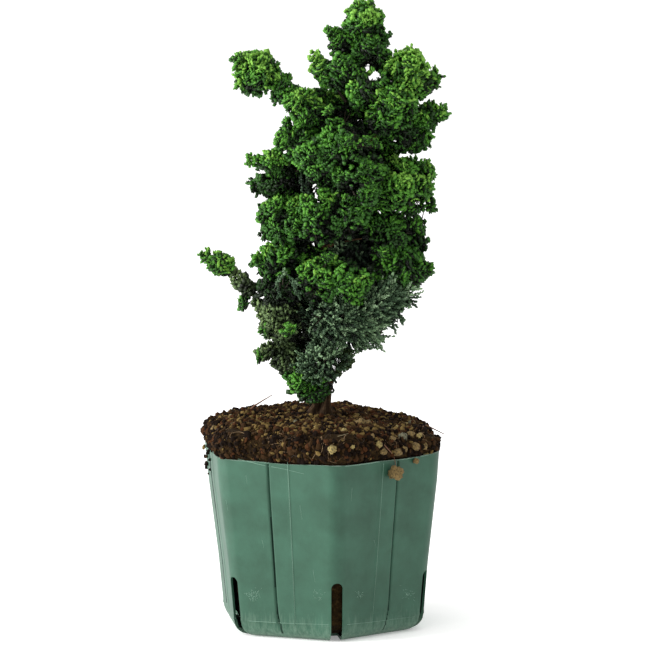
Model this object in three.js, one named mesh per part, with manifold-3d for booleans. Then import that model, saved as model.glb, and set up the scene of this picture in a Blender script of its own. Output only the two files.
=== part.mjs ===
// Dwarf hinoki cypress on its root ball in a hexagonal slit pot.
// Millimetres, +Z up. The origin is the centre of the pot's flat underside, and +X is the plant's right.
import * as THREE from 'three';
import { mergeVertices } from 'three/addons/utils/BufferGeometryUtils.js';
import Module from 'manifold-3d';

const wasm = await Module();
wasm.setup();

// ---- Driving dimensions

const clearance = 0.3; // left between neighbouring solids

// Pot: a rounded hexagon all the way up. A flat is the distance from the axis to one of its six sides.
const potHeight = 94.7;
const potWall = 1.2;
const potFloor = 1.5;
const potRimFlat = 58.5;
const potShoulder = { height: 80, flat: 57.4 }; // the wall stands nearly upright above this
const potWaist = { height: 35, flat: 52.4 };
const potFootFlat = 50.2; // where the wall starts to round under
const potFootRadius = 9; // of that rounding
const potCornerRadius = 10.5; // at the rim; it shrinks with the flat below
const potTurn = THREE.MathUtils.degToRad(7.4); // of the front corner, towards +X
const slitWidth = 5.9;
const slitHeight = 29;
const slitStart = 41; // distance from the axis at which a slit begins in the floor

// Root ball: fills the pot, stands above its rim, and is chamfered low down where the roots don't reach.
const soilTop = 111;
const soilChamfer = { low: 36, height: 8.5 };
const soilSideFlat = 58.8;
const soilShoulders = [
  { height: 102.8, flat: 58.5 },
  { height: 107.2, flat: 56.5 },
  { height: 109.9, flat: 53 },
  { height: soilTop, flat: 47 },
  { height: soilTop, flat: 17 }, // level round the trunk
];
const soilSlump = { drop: 4.2, from: 8, to: 44 }; // the right side lies lower, from one X to the other

// Trunk: from a flat cut on the soil up to the crown's leader.
const trunk = {
  through: [
    [-0.8, 0, soilTop + clearance],
    [1.8, -0.5, 122],
    [3.8, 0, 133],
    [2, 1.5, 153],
    [-1.5, 2, 176],
    [2, 2, 203],
    [9, 2, 238],
    [14, 3, 272],
    [23.5, 2, 310],
  ],
  radius: 5.6,
  tipRadius: 0.7,
  flare: 3, // added to the radius at the foot, between and along the roots
  flareHeight: 4,
  flareRoots: 5,
  flareDepth: 0.35, // of the hollows between the roots, as a share of the flare
  sides: 10,
  steps: 15,
};

const taperPower = 0.8; // under 1, so that a limb thins faster near its foot

// Boughs: each starts at a share of the trunk's length and runs through the points given.
const boughRadius = 1.5;
const boughTipRadius = 0.85;
const boughSides = 6;
const stepsPerPoint = 2;
const boughs = {
  left_high: { share: 0.732, through: [[2, 1, 265.5], [-7.5, 1, 273.5], [-25, 1, 287]] },
  right_leader: { share: 0.645, through: [[23, -2, 252], [34, -3, 263], [39, -3, 274]] },
  right_high: { share: 0.695, through: [[28.5, 4, 256.5], [44, 2, 263.5]] },
  left_arm: { share: 0.622, through: [[0, -1, 240.5], [-10.5, -2, 244]] },
  right_arm: { share: 0.57, through: [[23, -2, 228.5], [35.5, -3, 232.5]] },
  right_mid: { share: 0.445, through: [[17.5, 3, 203.5], [36.5, 2, 206.5]] },
  left_low: { share: 0.265, through: [[-15.5, 2, 167], [-29, 0, 171], [-37.5, 0, 177], [-42.5, 0, 187]] },
  right_low: { share: 0.312, through: [[16, -2, 180], [36, -3, 188.5]] },
  right_fan: { share: 0.165, through: [[9, -4, 155], [17.5, -6.5, 163.5]] },
};

// Foliage: what carries each mass and at which share of it, its furthest tip, its half width and its length.
const masses = [
  ['crown_top', 'trunk', 1, [26.2, 1, 330.6], 10.6, 29],
  ['top_left', 'trunk', 0.938, [5, -2, 316], 5.5, 24],
  ['top_right', 'trunk', 0.903, [37, -2, 314.5], 11.3, 31],
  ['top_back', 'trunk', 0.875, [23.5, 19, 304], 12, 28],
  ['upper_left_tip', 'trunk', 0.827, [-2.5, -6.5, 303.5], 6.2, 27],
  ['upper_left', 'trunk', 0.86, [12, -12.5, 301], 10.5, 24],
  ['upper_front', 'trunk', 0.807, [33, -15, 292.5], 11.5, 27],
  ['right_top', 'right_leader', 1, [51.3, -5.5, 305], 12.2, 30],
  ['right_top_back', 'right_leader', 0.93, [66, 3.5, 293], 5.8, 31],
  ['right_shoulder', 'right_leader', 0.68, [42, -17, 286], 13.5, 31],
  ['right_high_arm', 'right_high', 1, [68.7, 0, 272.5], 7.8, 28],
  ['right_high', 'right_high', 0.86, [59.6, -1, 254.5], 11.6, 32],
  ['left_high_arm', 'left_high', 0.35, [-28.5, 1, 291.8], 8.6, 41],
  ['left_high_tuft', 'left_high', 1, [-42, -1, 301], 13.1, 27],
  ['left_shoulder', 'trunk', 0.759, [-17, -11.5, 279.5], 10.4, 32],
  ['left_upper', 'trunk', 0.693, [-22, -10.5, 260.5], 11.3, 34],
  ['left_arm_tip', 'left_arm', 1, [-39, -3, 246.5], 7.2, 37],
  ['left_arm_low', 'left_arm', 0.8, [-37, 2, 231.5], 8.6, 31],
  ['centre_left', 'trunk', 0.653, [-5.5, -26, 254.5], 15.5, 36],
  ['centre_front', 'trunk', 0.68, [14.5, -29.5, 260], 14.5, 34],
  ['centre_right', 'trunk', 0.597, [31, -25, 242.5], 15.5, 35],
  ['right_arm', 'right_arm', 1, [61, -4, 234.5], 17.2, 35],
  ['left_mid', 'trunk', 0.486, [-31.9, -6.5, 220], 16.7, 36],
  ['left_mid_front', 'trunk', 0.519, [-3.5, -26, 221.5], 15, 34],
  ['centre_mid', 'trunk', 0.539, [19.5, -26, 220], 14.5, 33],
  ['right_mid', 'right_mid', 1, [57.3, 0, 201.5], 15.6, 39],
  ['left_low', 'trunk', 0.405, [-36, -8.5, 195], 11.8, 37],
  ['front_low_left', 'trunk', 0.332, [1.5, -27.5, 188.5], 13, 30],
  ['front_low_right', 'trunk', 0.357, [24.5, -23, 184.5], 13.3, 31],
  ['right_low', 'right_low', 1, [59.5, -4, 190], 13.2, 38],
  ['right_fan_high', 'right_fan', 1, [52, -8.5, 181], 9.8, 40],
  ['right_fan_low', 'right_fan', 0.8, [34.5, -9.5, 154.5], 10, 32],
  ['centre_fan', 'trunk', 0.251, [13, -23, 172], 15, 34],
  ['front_foot', 'trunk', 0.122, [-1, -18.5, 153], 14.5, 32],
  ['left_low_arm', 'left_low', 0.68, [-46.8, 0, 189.5], 5.6, 27],
  ['left_low_tuft', 'left_low', 1, [-63, -1, 198.5], 5.8, 27],
  ['left_lower', 'trunk', 0.238, [-35, -7.5, 168], 15, 41],
  ['left_hang', 'trunk', 0.3, [-32, -10, 181], 11.5, 30],
  ['left_foot', 'trunk', 0.105, [-34, -5, 149], 8, 40],
  ['foot_tuft', 'trunk', 0.059, [-17.3, -10, 135.5], 9.5, 27],
  ['right_foot', 'trunk', 0.079, [17, -1, 148], 4.4, 22],
  ['back_high', 'trunk', 0.776, [2.5, 26, 273], 16, 36],
  ['back_right_high', 'trunk', 0.715, [42, 24, 252.5], 16.5, 38],
  ['back_left', 'trunk', 0.627, [-20, 25, 234.5], 17, 38],
  ['back_right', 'trunk', 0.553, [35, 26.5, 228.5], 17, 38],
  ['back_low_left', 'trunk', 0.435, [-23.5, 24.5, 194.5], 17, 38],
  ['back_low_right', 'trunk', 0.367, [27.5, 25, 196], 18, 40],
  ['back_foot', 'trunk', 0.248, [-7, 25, 165.5], 17, 36],
];
const widest = 0.58; // share of a mass's length that lies between its stem end and its widest place
const coreShare = 0.85; // reach of the core, as a share of the whole mass
const coreLumps = 0.1; // how far a corner of the core lies in or out, as a share of its reach
const wallGap = 0.18; // from a mass to the flat wall that it shares with a neighbour
const stemRadius = 1;
const stemTipRadius = 0.5;
const stemSides = 5;
const stemShare = 0.7; // of a mass's length that the stem runs up it
const twigRadius = 0.75;
const twigSides = 3;
const twigOverlap = 0.2; // share of a spray's length that its twig runs into it
const twigLean = 0.5; // how strongly a twig leans towards the tip of its mass
const sprayReach = [1.02, 1.1]; // of the spray tips, as a share of the mass's own reach
const sprayRoot = 4; // sunk in the core
const wallShare = 0.95; // of the room up to a wall that a spray may use
const sprayWidth = 1.25; // as a share of its length
const sprayThickness = 0.2; // at its rib, as a share of its length
const spraySpacing = 14.1; // between neighbouring sprays over a mass
const seed = 20177;
const seedStep = 977; // between one mass and the next

// ---- Helpers

// A seeded random number from 0 to 1.
function makeRandom(start) {
  let state = start;
  return () => {
    state = (state * 48271) % 2147483647;
    return state / 2147483647;
  };
}

// A closed three.js geometry as a solid that can be joined and cut.
function solid(geometry) {
  const bare = geometry.clone();
  bare.deleteAttribute('normal');
  bare.deleteAttribute('uv');
  const merged = mergeVertices(bare, 1e-4);
  return new wasm.Manifold(new wasm.Mesh({
    numProp: 3,
    vertProperties: new Float32Array(merged.attributes.position.array),
    triVerts: new Uint32Array(merged.index.array),
  }));
}

// The mesh of a solid, in facets.
function facets(body) {
  const { numProp, vertProperties, triVerts } = body.getMesh();
  const points = [];
  for (let at = 0; at < vertProperties.length; at += numProp) {
    points.push(new THREE.Vector3(...vertProperties.subarray(at, at + 3)));
  }
  const indexed = new THREE.BufferGeometry().setFromPoints(points).setIndex(Array.from(triVerts));
  const geometry = indexed.toNonIndexed();
  geometry.computeVertexNormals();
  return geometry;
}

// The largest piece of a solid: loose scraps are dropped, and a sealed hollow is filled.
function largest(body) {
  return body.decompose().reduce((best, piece) => (piece.volume() > best.volume() ? piece : best));
}

// A closed solid through rings of points that all have the same number, listed upwards.
function loft(rings) {
  const around = rings[0].length;
  const index = [];
  for (let level = 0; level < rings.length - 1; level += 1) {
    for (let i = 0; i < around; i += 1) {
      const next = (i + 1) % around;
      const [a, b] = [level * around + i, level * around + next];
      index.push(a, b, b + around, a, b + around, a + around);
    }
  }
  const last = (rings.length - 1) * around;
  for (let i = 1; i < around - 1; i += 1) {
    index.push(0, i + 1, i);
    index.push(last, last + i, last + i + 1);
  }
  return new THREE.BufferGeometry().setFromPoints(rings.flat()).setIndex(index);
}

// ---- Pot and root ball

const cornerSteps = 3; // facets round a corner of the pot, and in each other rounding of it
const cornerAngles = Array.from({ length: 6 }, (_, i) => potTurn - Math.PI / 2 + (i * Math.PI) / 3);

// One ring of the rounded hexagon; an inset draws it in all round.
function hexagonRing({ height, flat }, inset = 0) {
  const radius = potCornerRadius * (flat / potRimFlat) - inset;
  const centre = (flat - inset - radius) / Math.cos(Math.PI / 6);
  return cornerAngles.flatMap((corner) => Array.from({ length: cornerSteps + 1 }, (_, i) => {
    const angle = corner + (i / cornerSteps - 0.5) * (Math.PI / 3);
    return new THREE.Vector3(
      centre * Math.cos(corner) + radius * Math.cos(angle),
      centre * Math.sin(corner) + radius * Math.sin(angle),
      height,
    );
  }));
}

// The flat of the pot's outside at any height above the rounded foot.
function potFlatAt(height) {
  const levels = [
    { height: potFootRadius, flat: potFootFlat },
    potWaist,
    potShoulder,
    { height: potHeight, flat: potRimFlat },
  ];
  const above = levels.findIndex((level) => level.height >= height);
  const [low, high] = [levels[Math.max(above - 1, 0)], levels[Math.max(above, 1)]];
  return THREE.MathUtils.mapLinear(height, low.height, high.height, low.flat, high.flat);
}

function potLevels() {
  const foot = Array.from({ length: cornerSteps + 1 }, (_, i) => {
    const angle = ((i / cornerSteps) * Math.PI) / 2;
    return {
      height: potFootRadius * (1 - Math.cos(angle)),
      flat: potFootFlat - potFootRadius * (1 - Math.sin(angle)),
    };
  });
  return [...foot, potWaist, potShoulder, { height: potHeight, flat: potRimFlat }];
}

function slitCutter(corner) {
  const half = slitWidth / 2;
  const outline = new THREE.Shape();
  outline.moveTo(-half, -potFloor);
  outline.lineTo(half, -potFloor);
  outline.lineTo(half, slitHeight - half);
  outline.absarc(0, slitHeight - half, half, 0, Math.PI);
  const cutter = new THREE.ExtrudeGeometry(outline, {
    depth: potRimFlat,
    bevelEnabled: false,
    curveSegments: cornerSteps,
  });
  const outwards = new THREE.Vector3(Math.cos(corner), Math.sin(corner), 0);
  const up = new THREE.Vector3(0, 0, 1);
  const across = new THREE.Vector3().crossVectors(up, outwards);
  const placing = new THREE.Matrix4().makeBasis(across, up, outwards);
  placing.setPosition(outwards.clone().multiplyScalar(slitStart));
  return solid(cutter.applyMatrix4(placing));
}

function makePot() {
  const cutterExcess = 1; // so that the rim is cut open
  const ringStep = 0.01; // keeps the floor's rings in order, one over the other
  const levels = potLevels();
  const outside = solid(loft(levels.map((level) => hexagonRing(level))));
  const hollow = levels.map(({ height, flat }, i) => ({
    height: i === levels.length - 1 ? potHeight + cutterExcess : Math.max(height, potFloor + i * ringStep),
    flat,
  }));
  const inside = solid(loft(hollow.map((level) => hexagonRing(level, potWall))));
  return cornerAngles.reduce((pot, corner) => pot.subtract(slitCutter(corner)), outside.subtract(inside));
}

function makeSoil() {
  const inset = potWall + clearance;
  const aboveFoot = potFootRadius + 3;
  const shelfRise = 0.2;
  const within = [soilChamfer.height, aboveFoot, potWaist.height, potShoulder.height]
    .map((height) => hexagonRing({ height, flat: potFlatAt(height) }, inset));
  const bottom = hexagonRing({ height: potFloor + clearance, flat: soilChamfer.low });
  const overRim = potHeight + clearance;
  const shelf = [
    hexagonRing({ height: overRim, flat: potRimFlat }, inset),
    hexagonRing({ height: overRim + shelfRise, flat: soilSideFlat }),
  ];
  const crest = soilShoulders.map((level) => hexagonRing(level));
  for (const point of crest.flat()) {
    point.z -= soilSlump.drop * THREE.MathUtils.smoothstep(point.x, soilSlump.from, soilSlump.to);
  }
  return solid(loft([bottom, ...within, ...shelf, ...crest]));
}

// ---- Trunk and boughs

// A limb's curve through its points, with its radius given by share of its length.
function makeLimb({ through, radius, tipRadius, sides, steps, flare = 0, flareHeight = 1, ...flareShape }) {
  const curve = new THREE.CatmullRomCurve3(through.map((point) => new THREE.Vector3(...point)));
  const length = curve.getLength();
  const { flareRoots = 0, flareDepth = 0 } = flareShape;
  const radiusAt = (share, angle = 0) => {
    const roots = 1 + flareDepth * Math.cos(flareRoots * angle);
    const swell = flare * Math.exp((-share * length) / flareHeight) * roots;
    return THREE.MathUtils.lerp(radius, tipRadius, share ** taperPower) + swell;
  };
  return { curve, radiusAt, sides, steps };
}

// A cylinder whose rings are moved onto the limb's curve, swollen all round by a margin.
function limbSolid({ curve, radiusAt, sides, steps }, margin = 0, footMargin = margin) {
  const geometry = new THREE.CylinderGeometry(1, 1, 1, sides, steps);
  const frames = curve.computeFrenetFrames(steps);
  const position = geometry.attributes.position;
  for (let i = 0; i < position.count; i += 1) {
    const ring = Math.round((position.getY(i) + 0.5) * steps);
    const share = ring / steps;
    const [x, z] = [position.getX(i), position.getZ(i)];
    const radius = radiusAt(share, Math.atan2(z, x)) + margin;
    const point = curve.getPointAt(share);
    point.addScaledVector(frames.normals[ring], x * radius);
    point.addScaledVector(frames.binormals[ring], -z * radius);
    if (ring === 0) point.addScaledVector(frames.tangents[ring], -footMargin);
    if (ring === steps) point.addScaledVector(frames.tangents[ring], margin);
    position.setXYZ(i, point.x, point.y, point.z);
  }
  return solid(geometry);
}

// A straight taper from one point to another; with no end radius it runs to a point.
function rod(start, end, startRadius, endRadius, sides) {
  const along = end.clone().sub(start);
  const geometry = new THREE.CylinderGeometry(endRadius, startRadius, along.length(), sides);
  const turn = new THREE.Quaternion().setFromUnitVectors(new THREE.Vector3(0, 1, 0), along.normalize());
  const middle = start.clone().lerp(end, 0.5);
  return geometry.applyQuaternion(turn).translate(middle.x, middle.y, middle.z);
}

const limbs = { trunk: makeLimb(trunk) };
for (const [name, { share, through }] of Object.entries(boughs)) {
  limbs[name] = makeLimb({
    through: [limbs.trunk.curve.getPointAt(share).toArray(), ...through],
    radius: boughRadius,
    tipRadius: boughTipRadius,
    sides: boughSides,
    steps: stepsPerPoint * through.length,
  });
}

function makeTrunk() {
  const belowSoil = 4;
  const groundSize = 40;
  const ground = new THREE.BoxGeometry(groundSize, groundSize, groundSize);
  ground.translate(0, 0, soilTop + clearance - groundSize / 2);
  return limbSolid(limbs.trunk, 0, belowSoil).subtract(solid(ground));
}

const trunkRoom = limbSolid(limbs.trunk, clearance);
const limbRooms = Object.values(limbs).map((limb) => limbSolid(limb, clearance));

// ---- Foliage

// A mass is egg-shaped: widest before its middle, blunt at its tip.
function makeEgg([name, carrier, share, tipPoint, half, length], number) {
  const foot = limbs[carrier].curve.getPointAt(share);
  const tip = new THREE.Vector3(...tipPoint);
  const axis = tip.clone().sub(foot).normalize();
  const centre = tip.clone().addScaledVector(axis, -length * (1 - widest));
  const egg = { name, foot, tip, axis, centre, half, length, number, walls: [] };
  egg.fronts = [length * widest, length * (1 - widest)]; // reach behind and before the centre
  return egg;
}

// Half the gradient of the squared egg measure, which is 1 on the egg's surface.
function eggSlope(egg, point) {
  const from = point.clone().sub(egg.centre);
  const along = from.dot(egg.axis);
  const reach = egg.fronts[along > 0 ? 1 : 0];
  const across = from.clone().addScaledVector(egg.axis, -along);
  return across.divideScalar(egg.half ** 2).addScaledVector(egg.axis, along / reach ** 2);
}

function eggRadius(egg, direction) {
  const slope = eggSlope(egg, egg.centre.clone().add(direction));
  return 1 / Math.sqrt(slope.dot(direction));
}

// Neighbours share their room by a flat wall where both eggs measure the same.
function buildWalls(eggs) {
  for (const egg of eggs) {
    for (const other of eggs) {
      const apart = other.centre.clone().sub(egg.centre);
      const distance = apart.length();
      const reach = Math.max(egg.half, ...egg.fronts) + Math.max(other.half, ...other.fronts);
      if (egg === other || distance > reach + clearance) continue;
      apart.divideScalar(distance);
      const mine = eggRadius(egg, apart);
      const theirs = eggRadius(other, apart.clone().negate());
      const meeting = egg.centre.clone().addScaledVector(apart, (distance * mine) / (mine + theirs));
      const normal = eggSlope(egg, meeting).sub(eggSlope(other, meeting)).normalize();
      egg.walls.push({ normal, offset: normal.dot(meeting) - wallGap });
    }
  }
}

// How far a ray from the egg's centre may run before it meets a wall.
function roomAlong(egg, direction) {
  return egg.walls.reduce((room, { normal, offset }) => {
    const slope = normal.dot(direction);
    return slope > 0 ? Math.min(room, (offset - normal.dot(egg.centre)) / slope) : room;
  }, Infinity);
}

function insideWalls(egg, point) {
  return egg.walls.every(({ normal, offset }) => normal.dot(point) < offset);
}

// A lumpy closed core with every corner inside the mass's own room.
function coreGeometry(egg, random) {
  const geometry = new THREE.OctahedronGeometry(1, 1);
  geometry.deleteAttribute('normal');
  geometry.deleteAttribute('uv');
  const core = mergeVertices(geometry, 1e-4);
  const position = core.attributes.position;
  for (let i = 0; i < position.count; i += 1) {
    const direction = new THREE.Vector3().fromBufferAttribute(position, i).normalize();
    const lumpy = coreShare * (1 + coreLumps * (2 * random() - 1)) * eggRadius(egg, direction);
    const radius = Math.min(lumpy, roomAlong(egg, direction));
    const corner = egg.centre.clone().addScaledVector(direction, radius);
    position.setXYZ(i, corner.x, corner.y, corner.z);
  }
  return core;
}

// A spray as a fan blade with three teeth, thickest at its rib.
function sprayGeometry(root, direction, side, length) {
  const outline = [[0, 0], [0.5, 0.72], [0.2, 0.7], [0, 1], [-0.2, 0.7], [-0.5, 0.72]];
  const flatwise = new THREE.Vector3().crossVectors(side, direction);
  const place = (across, along, up) => root.clone()
    .addScaledVector(side, across * sprayWidth * length)
    .addScaledVector(direction, along * length)
    .addScaledVector(flatwise, up * sprayThickness * length);
  const points = outline.map(([across, along]) => place(across, along, 0));
  points.push(place(0, 0.55, 0.5), place(0, 0.55, -0.5));
  const [above, below] = [outline.length, outline.length + 1];
  const index = outline.flatMap((_, i) => {
    const next = (i + 1) % outline.length;
    return [i, next, above, next, i, below];
  });
  return new THREE.BufferGeometry().setFromPoints(points).setIndex(index);
}

// Even directions round the egg by the golden angle, each with a twig from the stem and a spray at its end.
function growSprays(egg, random) {
  const area = 4 * Math.PI * ((egg.half * (egg.half + egg.length)) / 3);
  const count = Math.round(area / spraySpacing ** 2);
  const grown = [];
  for (let i = 0; i < count; i += 1) {
    const height = 1 - (2 * i + 1) / count;
    const turn = (i + random()) * Math.PI * (1 + Math.sqrt(5));
    const around = Math.sqrt(1 - height ** 2);
    const direction = new THREE.Vector3(around * Math.cos(turn), around * Math.sin(turn), height);
    const radius = eggRadius(egg, direction);
    const free = radius * THREE.MathUtils.lerp(...sprayReach, random());
    const reach = Math.min(free, wallShare * roomAlong(egg, direction));
    const length = reach - coreShare * radius + sprayRoot;
    const roll = 2 * Math.PI * random();
    if (length < sprayRoot) continue;
    const end = egg.centre.clone().addScaledVector(direction, reach);
    const heading = direction.clone().addScaledVector(egg.axis, twigLean).normalize();
    const root = end.clone().addScaledVector(heading, -length);
    const along = root.clone().sub(egg.centre).dot(egg.axis) - egg.half * twigLean;
    const fork = egg.centre.clone().addScaledVector(egg.axis, Math.max(along, -coreShare * egg.half));
    const side = new THREE.Vector3().crossVectors(heading, egg.axis).normalize();
    side.applyAxisAngle(heading, roll);
    const blade = sprayGeometry(root, heading, side, length);
    grown.push({ blade, fork, knot: root.clone().addScaledVector(heading, twigOverlap * length) });
  }
  return grown;
}

function cornersOf(geometry) {
  const { position } = geometry.attributes;
  const corner = (_, i) => new THREE.Vector3().fromBufferAttribute(position, i);
  return Array.from({ length: position.count }, corner);
}

// Shortest distance from a point to a limb's surface, below zero inside it.
function distanceToLimbs(point) {
  return Math.min(...Object.values(limbs).map(({ curve, radiusAt, steps }) => {
    const count = 4 * steps;
    const along = curve.getSpacedPoints(count);
    return Math.min(...along.map((on, i) => on.distanceTo(point) - radiusAt(i / count)));
  }));
}

function stemEndOf(egg) {
  return egg.tip.clone().addScaledVector(egg.axis, (stemShare - 1) * egg.length);
}

function makeMass(egg, stemRooms) {
  const random = makeRandom(seed + seedStep * egg.number);
  const core = solid(coreGeometry(egg, random));
  let body = core.add(solid(rod(egg.foot, stemEndOf(egg), stemRadius, stemTipRadius, stemSides)));
  for (const { blade, fork, knot } of growSprays(egg, random)) {
    const fits = (point) => insideWalls(egg, point) && distanceToLimbs(point) > clearance;
    if (!cornersOf(blade).every(fits) || !insideWalls(egg, fork)) continue;
    body = body.add(solid(rod(fork, knot, twigRadius, 0, twigSides))).add(solid(blade));
  }
  for (const room of limbRooms) body = body.subtract(room);
  for (const [name, room] of stemRooms) if (name !== egg.name) body = body.subtract(room);
  return largest(body);
}

// ---- Materials and scene graph

const finishes = {
  pot: { color: '#557b69', roughness: 0.45, metalness: 0 },
  soil: { color: '#4a3824', roughness: 1, metalness: 0 },
  bark: { color: '#6b523a', roughness: 0.9, metalness: 0 },
  foliage: { color: '#3c6227', roughness: 0.75, metalness: 0 },
};

function named(name, body, finish) {
  const mesh = new THREE.Mesh(facets(body), new THREE.MeshStandardMaterial(finishes[finish]));
  mesh.name = name;
  return mesh;
}

const plant = new THREE.Group();
plant.add(named('pot', makePot(), 'pot'));
plant.add(named('soil', makeSoil(), 'soil'));
plant.add(named('trunk', makeTrunk(), 'bark'));
for (const name of Object.keys(boughs)) {
  const bough = largest(limbSolid(limbs[name]).subtract(trunkRoom));
  plant.add(named(`bough_${name}`, bough, 'bark'));
}

const eggs = masses.map(makeEgg);
buildWalls(eggs);
const stemRooms = eggs.map((egg) => {
  const radius = stemRadius + clearance;
  return [egg.name, solid(rod(egg.foot, stemEndOf(egg), radius, radius, stemSides + 1))];
});
for (const egg of eggs) plant.add(named(`foliage_${egg.name}`, makeMass(egg, stemRooms), 'foliage'));

export default plant;
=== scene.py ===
# Dwarf hinoki cypress in a hexagonal nursery pot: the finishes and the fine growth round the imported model.
# Metres, +Z up. The origin is the centre of the pot's flat underside, and +X is the plant's right.
import math

import bmesh
import bpy
import numpy as np
from mathutils import Matrix, Vector, noise
from mathutils.bvhtree import BVHTree


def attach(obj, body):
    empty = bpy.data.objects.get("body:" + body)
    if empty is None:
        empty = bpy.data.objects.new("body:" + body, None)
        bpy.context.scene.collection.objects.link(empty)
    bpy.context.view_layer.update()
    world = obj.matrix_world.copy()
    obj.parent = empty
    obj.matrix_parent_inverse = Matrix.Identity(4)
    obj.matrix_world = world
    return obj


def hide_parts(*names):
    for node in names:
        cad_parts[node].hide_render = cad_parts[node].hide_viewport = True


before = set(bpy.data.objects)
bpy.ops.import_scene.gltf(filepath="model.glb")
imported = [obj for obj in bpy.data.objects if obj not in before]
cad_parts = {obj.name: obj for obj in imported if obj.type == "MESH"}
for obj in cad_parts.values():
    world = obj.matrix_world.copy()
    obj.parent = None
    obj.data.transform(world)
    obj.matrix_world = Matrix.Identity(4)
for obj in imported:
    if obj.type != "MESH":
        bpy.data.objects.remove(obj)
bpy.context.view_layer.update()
mm = 0.001


# A hex colour as linear red, green, blue and alpha
def linearColour(code):
    channels = [int(code[i:i + 2], 16) / 255 for i in (1, 3, 5)]
    return [c / 12.92 if c <= 0.04045 else ((c + 0.055) / 1.055) ** 2.4 for c in channels] + [1]


def between(ends, share):
    return ends[0] + (ends[1] - ends[0]) * share


# The least, and more of it by chance
def chance(leastAndMore, random):
    least, more = leastAndMore
    return least + more * random()


# settings hold sockets by name or number and the node's own properties, links hold input: output
def addNode(tree, kind, settings=None, links=None):
    node = tree.nodes.new("ShaderNode" + kind)
    for key, value in (settings or {}).items():
        if key == "stops":  # of a colour ramp: {place: colour}
            ramp = node.color_ramp
            while len(ramp.elements) < len(value):
                ramp.elements.new(0.5)
            for element, (place, code) in zip(ramp.elements, value.items()):
                element.position = place
                element.color = linearColour(code)
        elif isinstance(key, int) or key in node.inputs:
            node.inputs[key].default_value = value
        else:
            setattr(node, key, value)
    for key, output in (links or {}).items():
        tree.links.new(output, node.inputs[key])
    return node


def newMaterial(name, colour, roughness, **sockets):
    material = bpy.data.materials.new(name)
    material.use_nodes = True
    shader = material.node_tree.nodes["Principled BSDF"]
    shader.inputs["Base Color"].default_value = linearColour(colour)
    shader.inputs["Roughness"].default_value = roughness
    for socket, value in sockets.items():
        shader.inputs[socket.replace("_", " ")].default_value = value
    material.diffuse_color = linearColour(colour)
    return material, material.node_tree, shader


# Noise in patches of a size in mm
def addNoise(tree, place, size, detail, **settings):
    settings = {"Scale": 1 / (size * mm), "Detail": detail, **settings}
    return addNode(tree, "TexNoise", settings, {"Vector": place}).outputs[0]


# Goes from low to high while the value goes from start to end
def addRange(tree, value, start, end, low=0, high=1):
    settings = {"From Min": start, "From Max": end, "To Min": low, "To Max": high}
    return addNode(tree, "MapRange", settings, {"Value": value}).outputs[0]


# A colour that covers what is under it by an amount from 0 to 1
def layColour(tree, amount, under, code):
    mix = addNode(tree, "Mix", {"data_type": "RGBA", 7: linearColour(code)}, {0: amount, 6: under})
    return mix.outputs[2]


# Relief with a depth in mm
def addBump(tree, shader, height, strength, depth):
    bump = addNode(tree, "Bump", {"Strength": strength, "Distance": depth * mm}, {"Height": height})
    tree.links.new(bump.outputs[0], shader.inputs["Normal"])


def newObject(name, mesh, materials):
    piece = bpy.data.objects.new(name, mesh)
    for material in materials:
        mesh.materials.append(material)
    bpy.context.scene.collection.objects.link(piece)
    return piece


# A finished piece: rides on the one body and stands for its nodes
def keepPiece(piece, nodes=()):
    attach(piece, "root")
    if nodes:
        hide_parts(*nodes)
    triangles = sum(len(face.vertices) - 2 for face in piece.data.polygons)
    print(f"{piece.name}: {triangles} triangles")
    return piece


def meshFromBmesh(name, bm):
    mesh = bpy.data.meshes.new(name)
    bm.to_mesh(mesh)
    bm.free()
    mesh.polygons.foreach_set("use_smooth", [True] * len(mesh.polygons))
    return mesh


def meshFromArrays(name, points, triangles, smooth=True):
    mesh = bpy.data.meshes.new(name)
    mesh.vertices.add(len(points))
    mesh.vertices.foreach_set("co", np.asarray(points, np.float32).ravel())
    mesh.loops.add(triangles.size)
    mesh.loops.foreach_set("vertex_index", triangles.astype(np.int32).ravel())
    mesh.polygons.add(len(triangles))
    mesh.polygons.foreach_set("loop_start", np.arange(0, triangles.size, 3, dtype=np.int32))
    mesh.polygons.foreach_set("use_smooth", np.full(len(triangles), smooth))
    mesh.update()
    return mesh


# The points and triangles of one small shape, to be repeated
def shapeArrays(bm):
    bmesh.ops.triangulate(bm, faces=bm.faces)
    bm.verts.index_update()
    points = np.array([vert.co for vert in bm.verts])
    triangles = np.array([[vert.index for vert in face.verts] for face in bm.faces])
    bm.free()
    return points, triangles


# One joined mesh of a small shape at many places: each place is a 3 x 4 matrix
def repeatShape(name, shape, places, smooth=True):
    points, triangles = shape
    places = np.asarray(places, float).reshape(-1, 3, 4)
    allPoints = np.einsum("nij,vj->nvi", places[:, :, :3], points) + places[:, None, :, 3]
    offsets = np.arange(len(places))[:, None, None] * len(points)
    return meshFromArrays(name, allPoints.reshape(-1, 3), (triangles[None] + offsets).reshape(-1, 3), smooth)


view = {
    "aim": (2.7, 0, 159.2),  # mm, the middle of the picture
    "distance": 2625,  # mm
    "pictureWidth": 341.25,  # mm across the picture at the aim
    "pictureSize": 650,  # columns and rows
    "elevation": 7.5,
    "roll": 0.6,
    "sensor": 36,
    "clipEnd": 100,
}

camera = bpy.data.cameras.new("camera")
camera.sensor_width = view["sensor"]
camera.lens = view["sensor"] * view["distance"] / view["pictureWidth"]
camera.clip_end = view["clipEnd"]
cameraObject = bpy.data.objects.new("camera", camera)
bpy.context.scene.collection.objects.link(cameraObject)
tilt = Matrix.Rotation(math.radians(90 - view["elevation"]), 4, "X")
roll = Matrix.Rotation(math.radians(-view["roll"]), 4, "Z")
back = Matrix.Translation((0, 0, view["distance"] * mm))
cameraObject.matrix_world = Matrix.Translation(Vector(view["aim"]) * mm) @ tilt @ back @ roll
bpy.context.scene.camera = cameraObject

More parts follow.
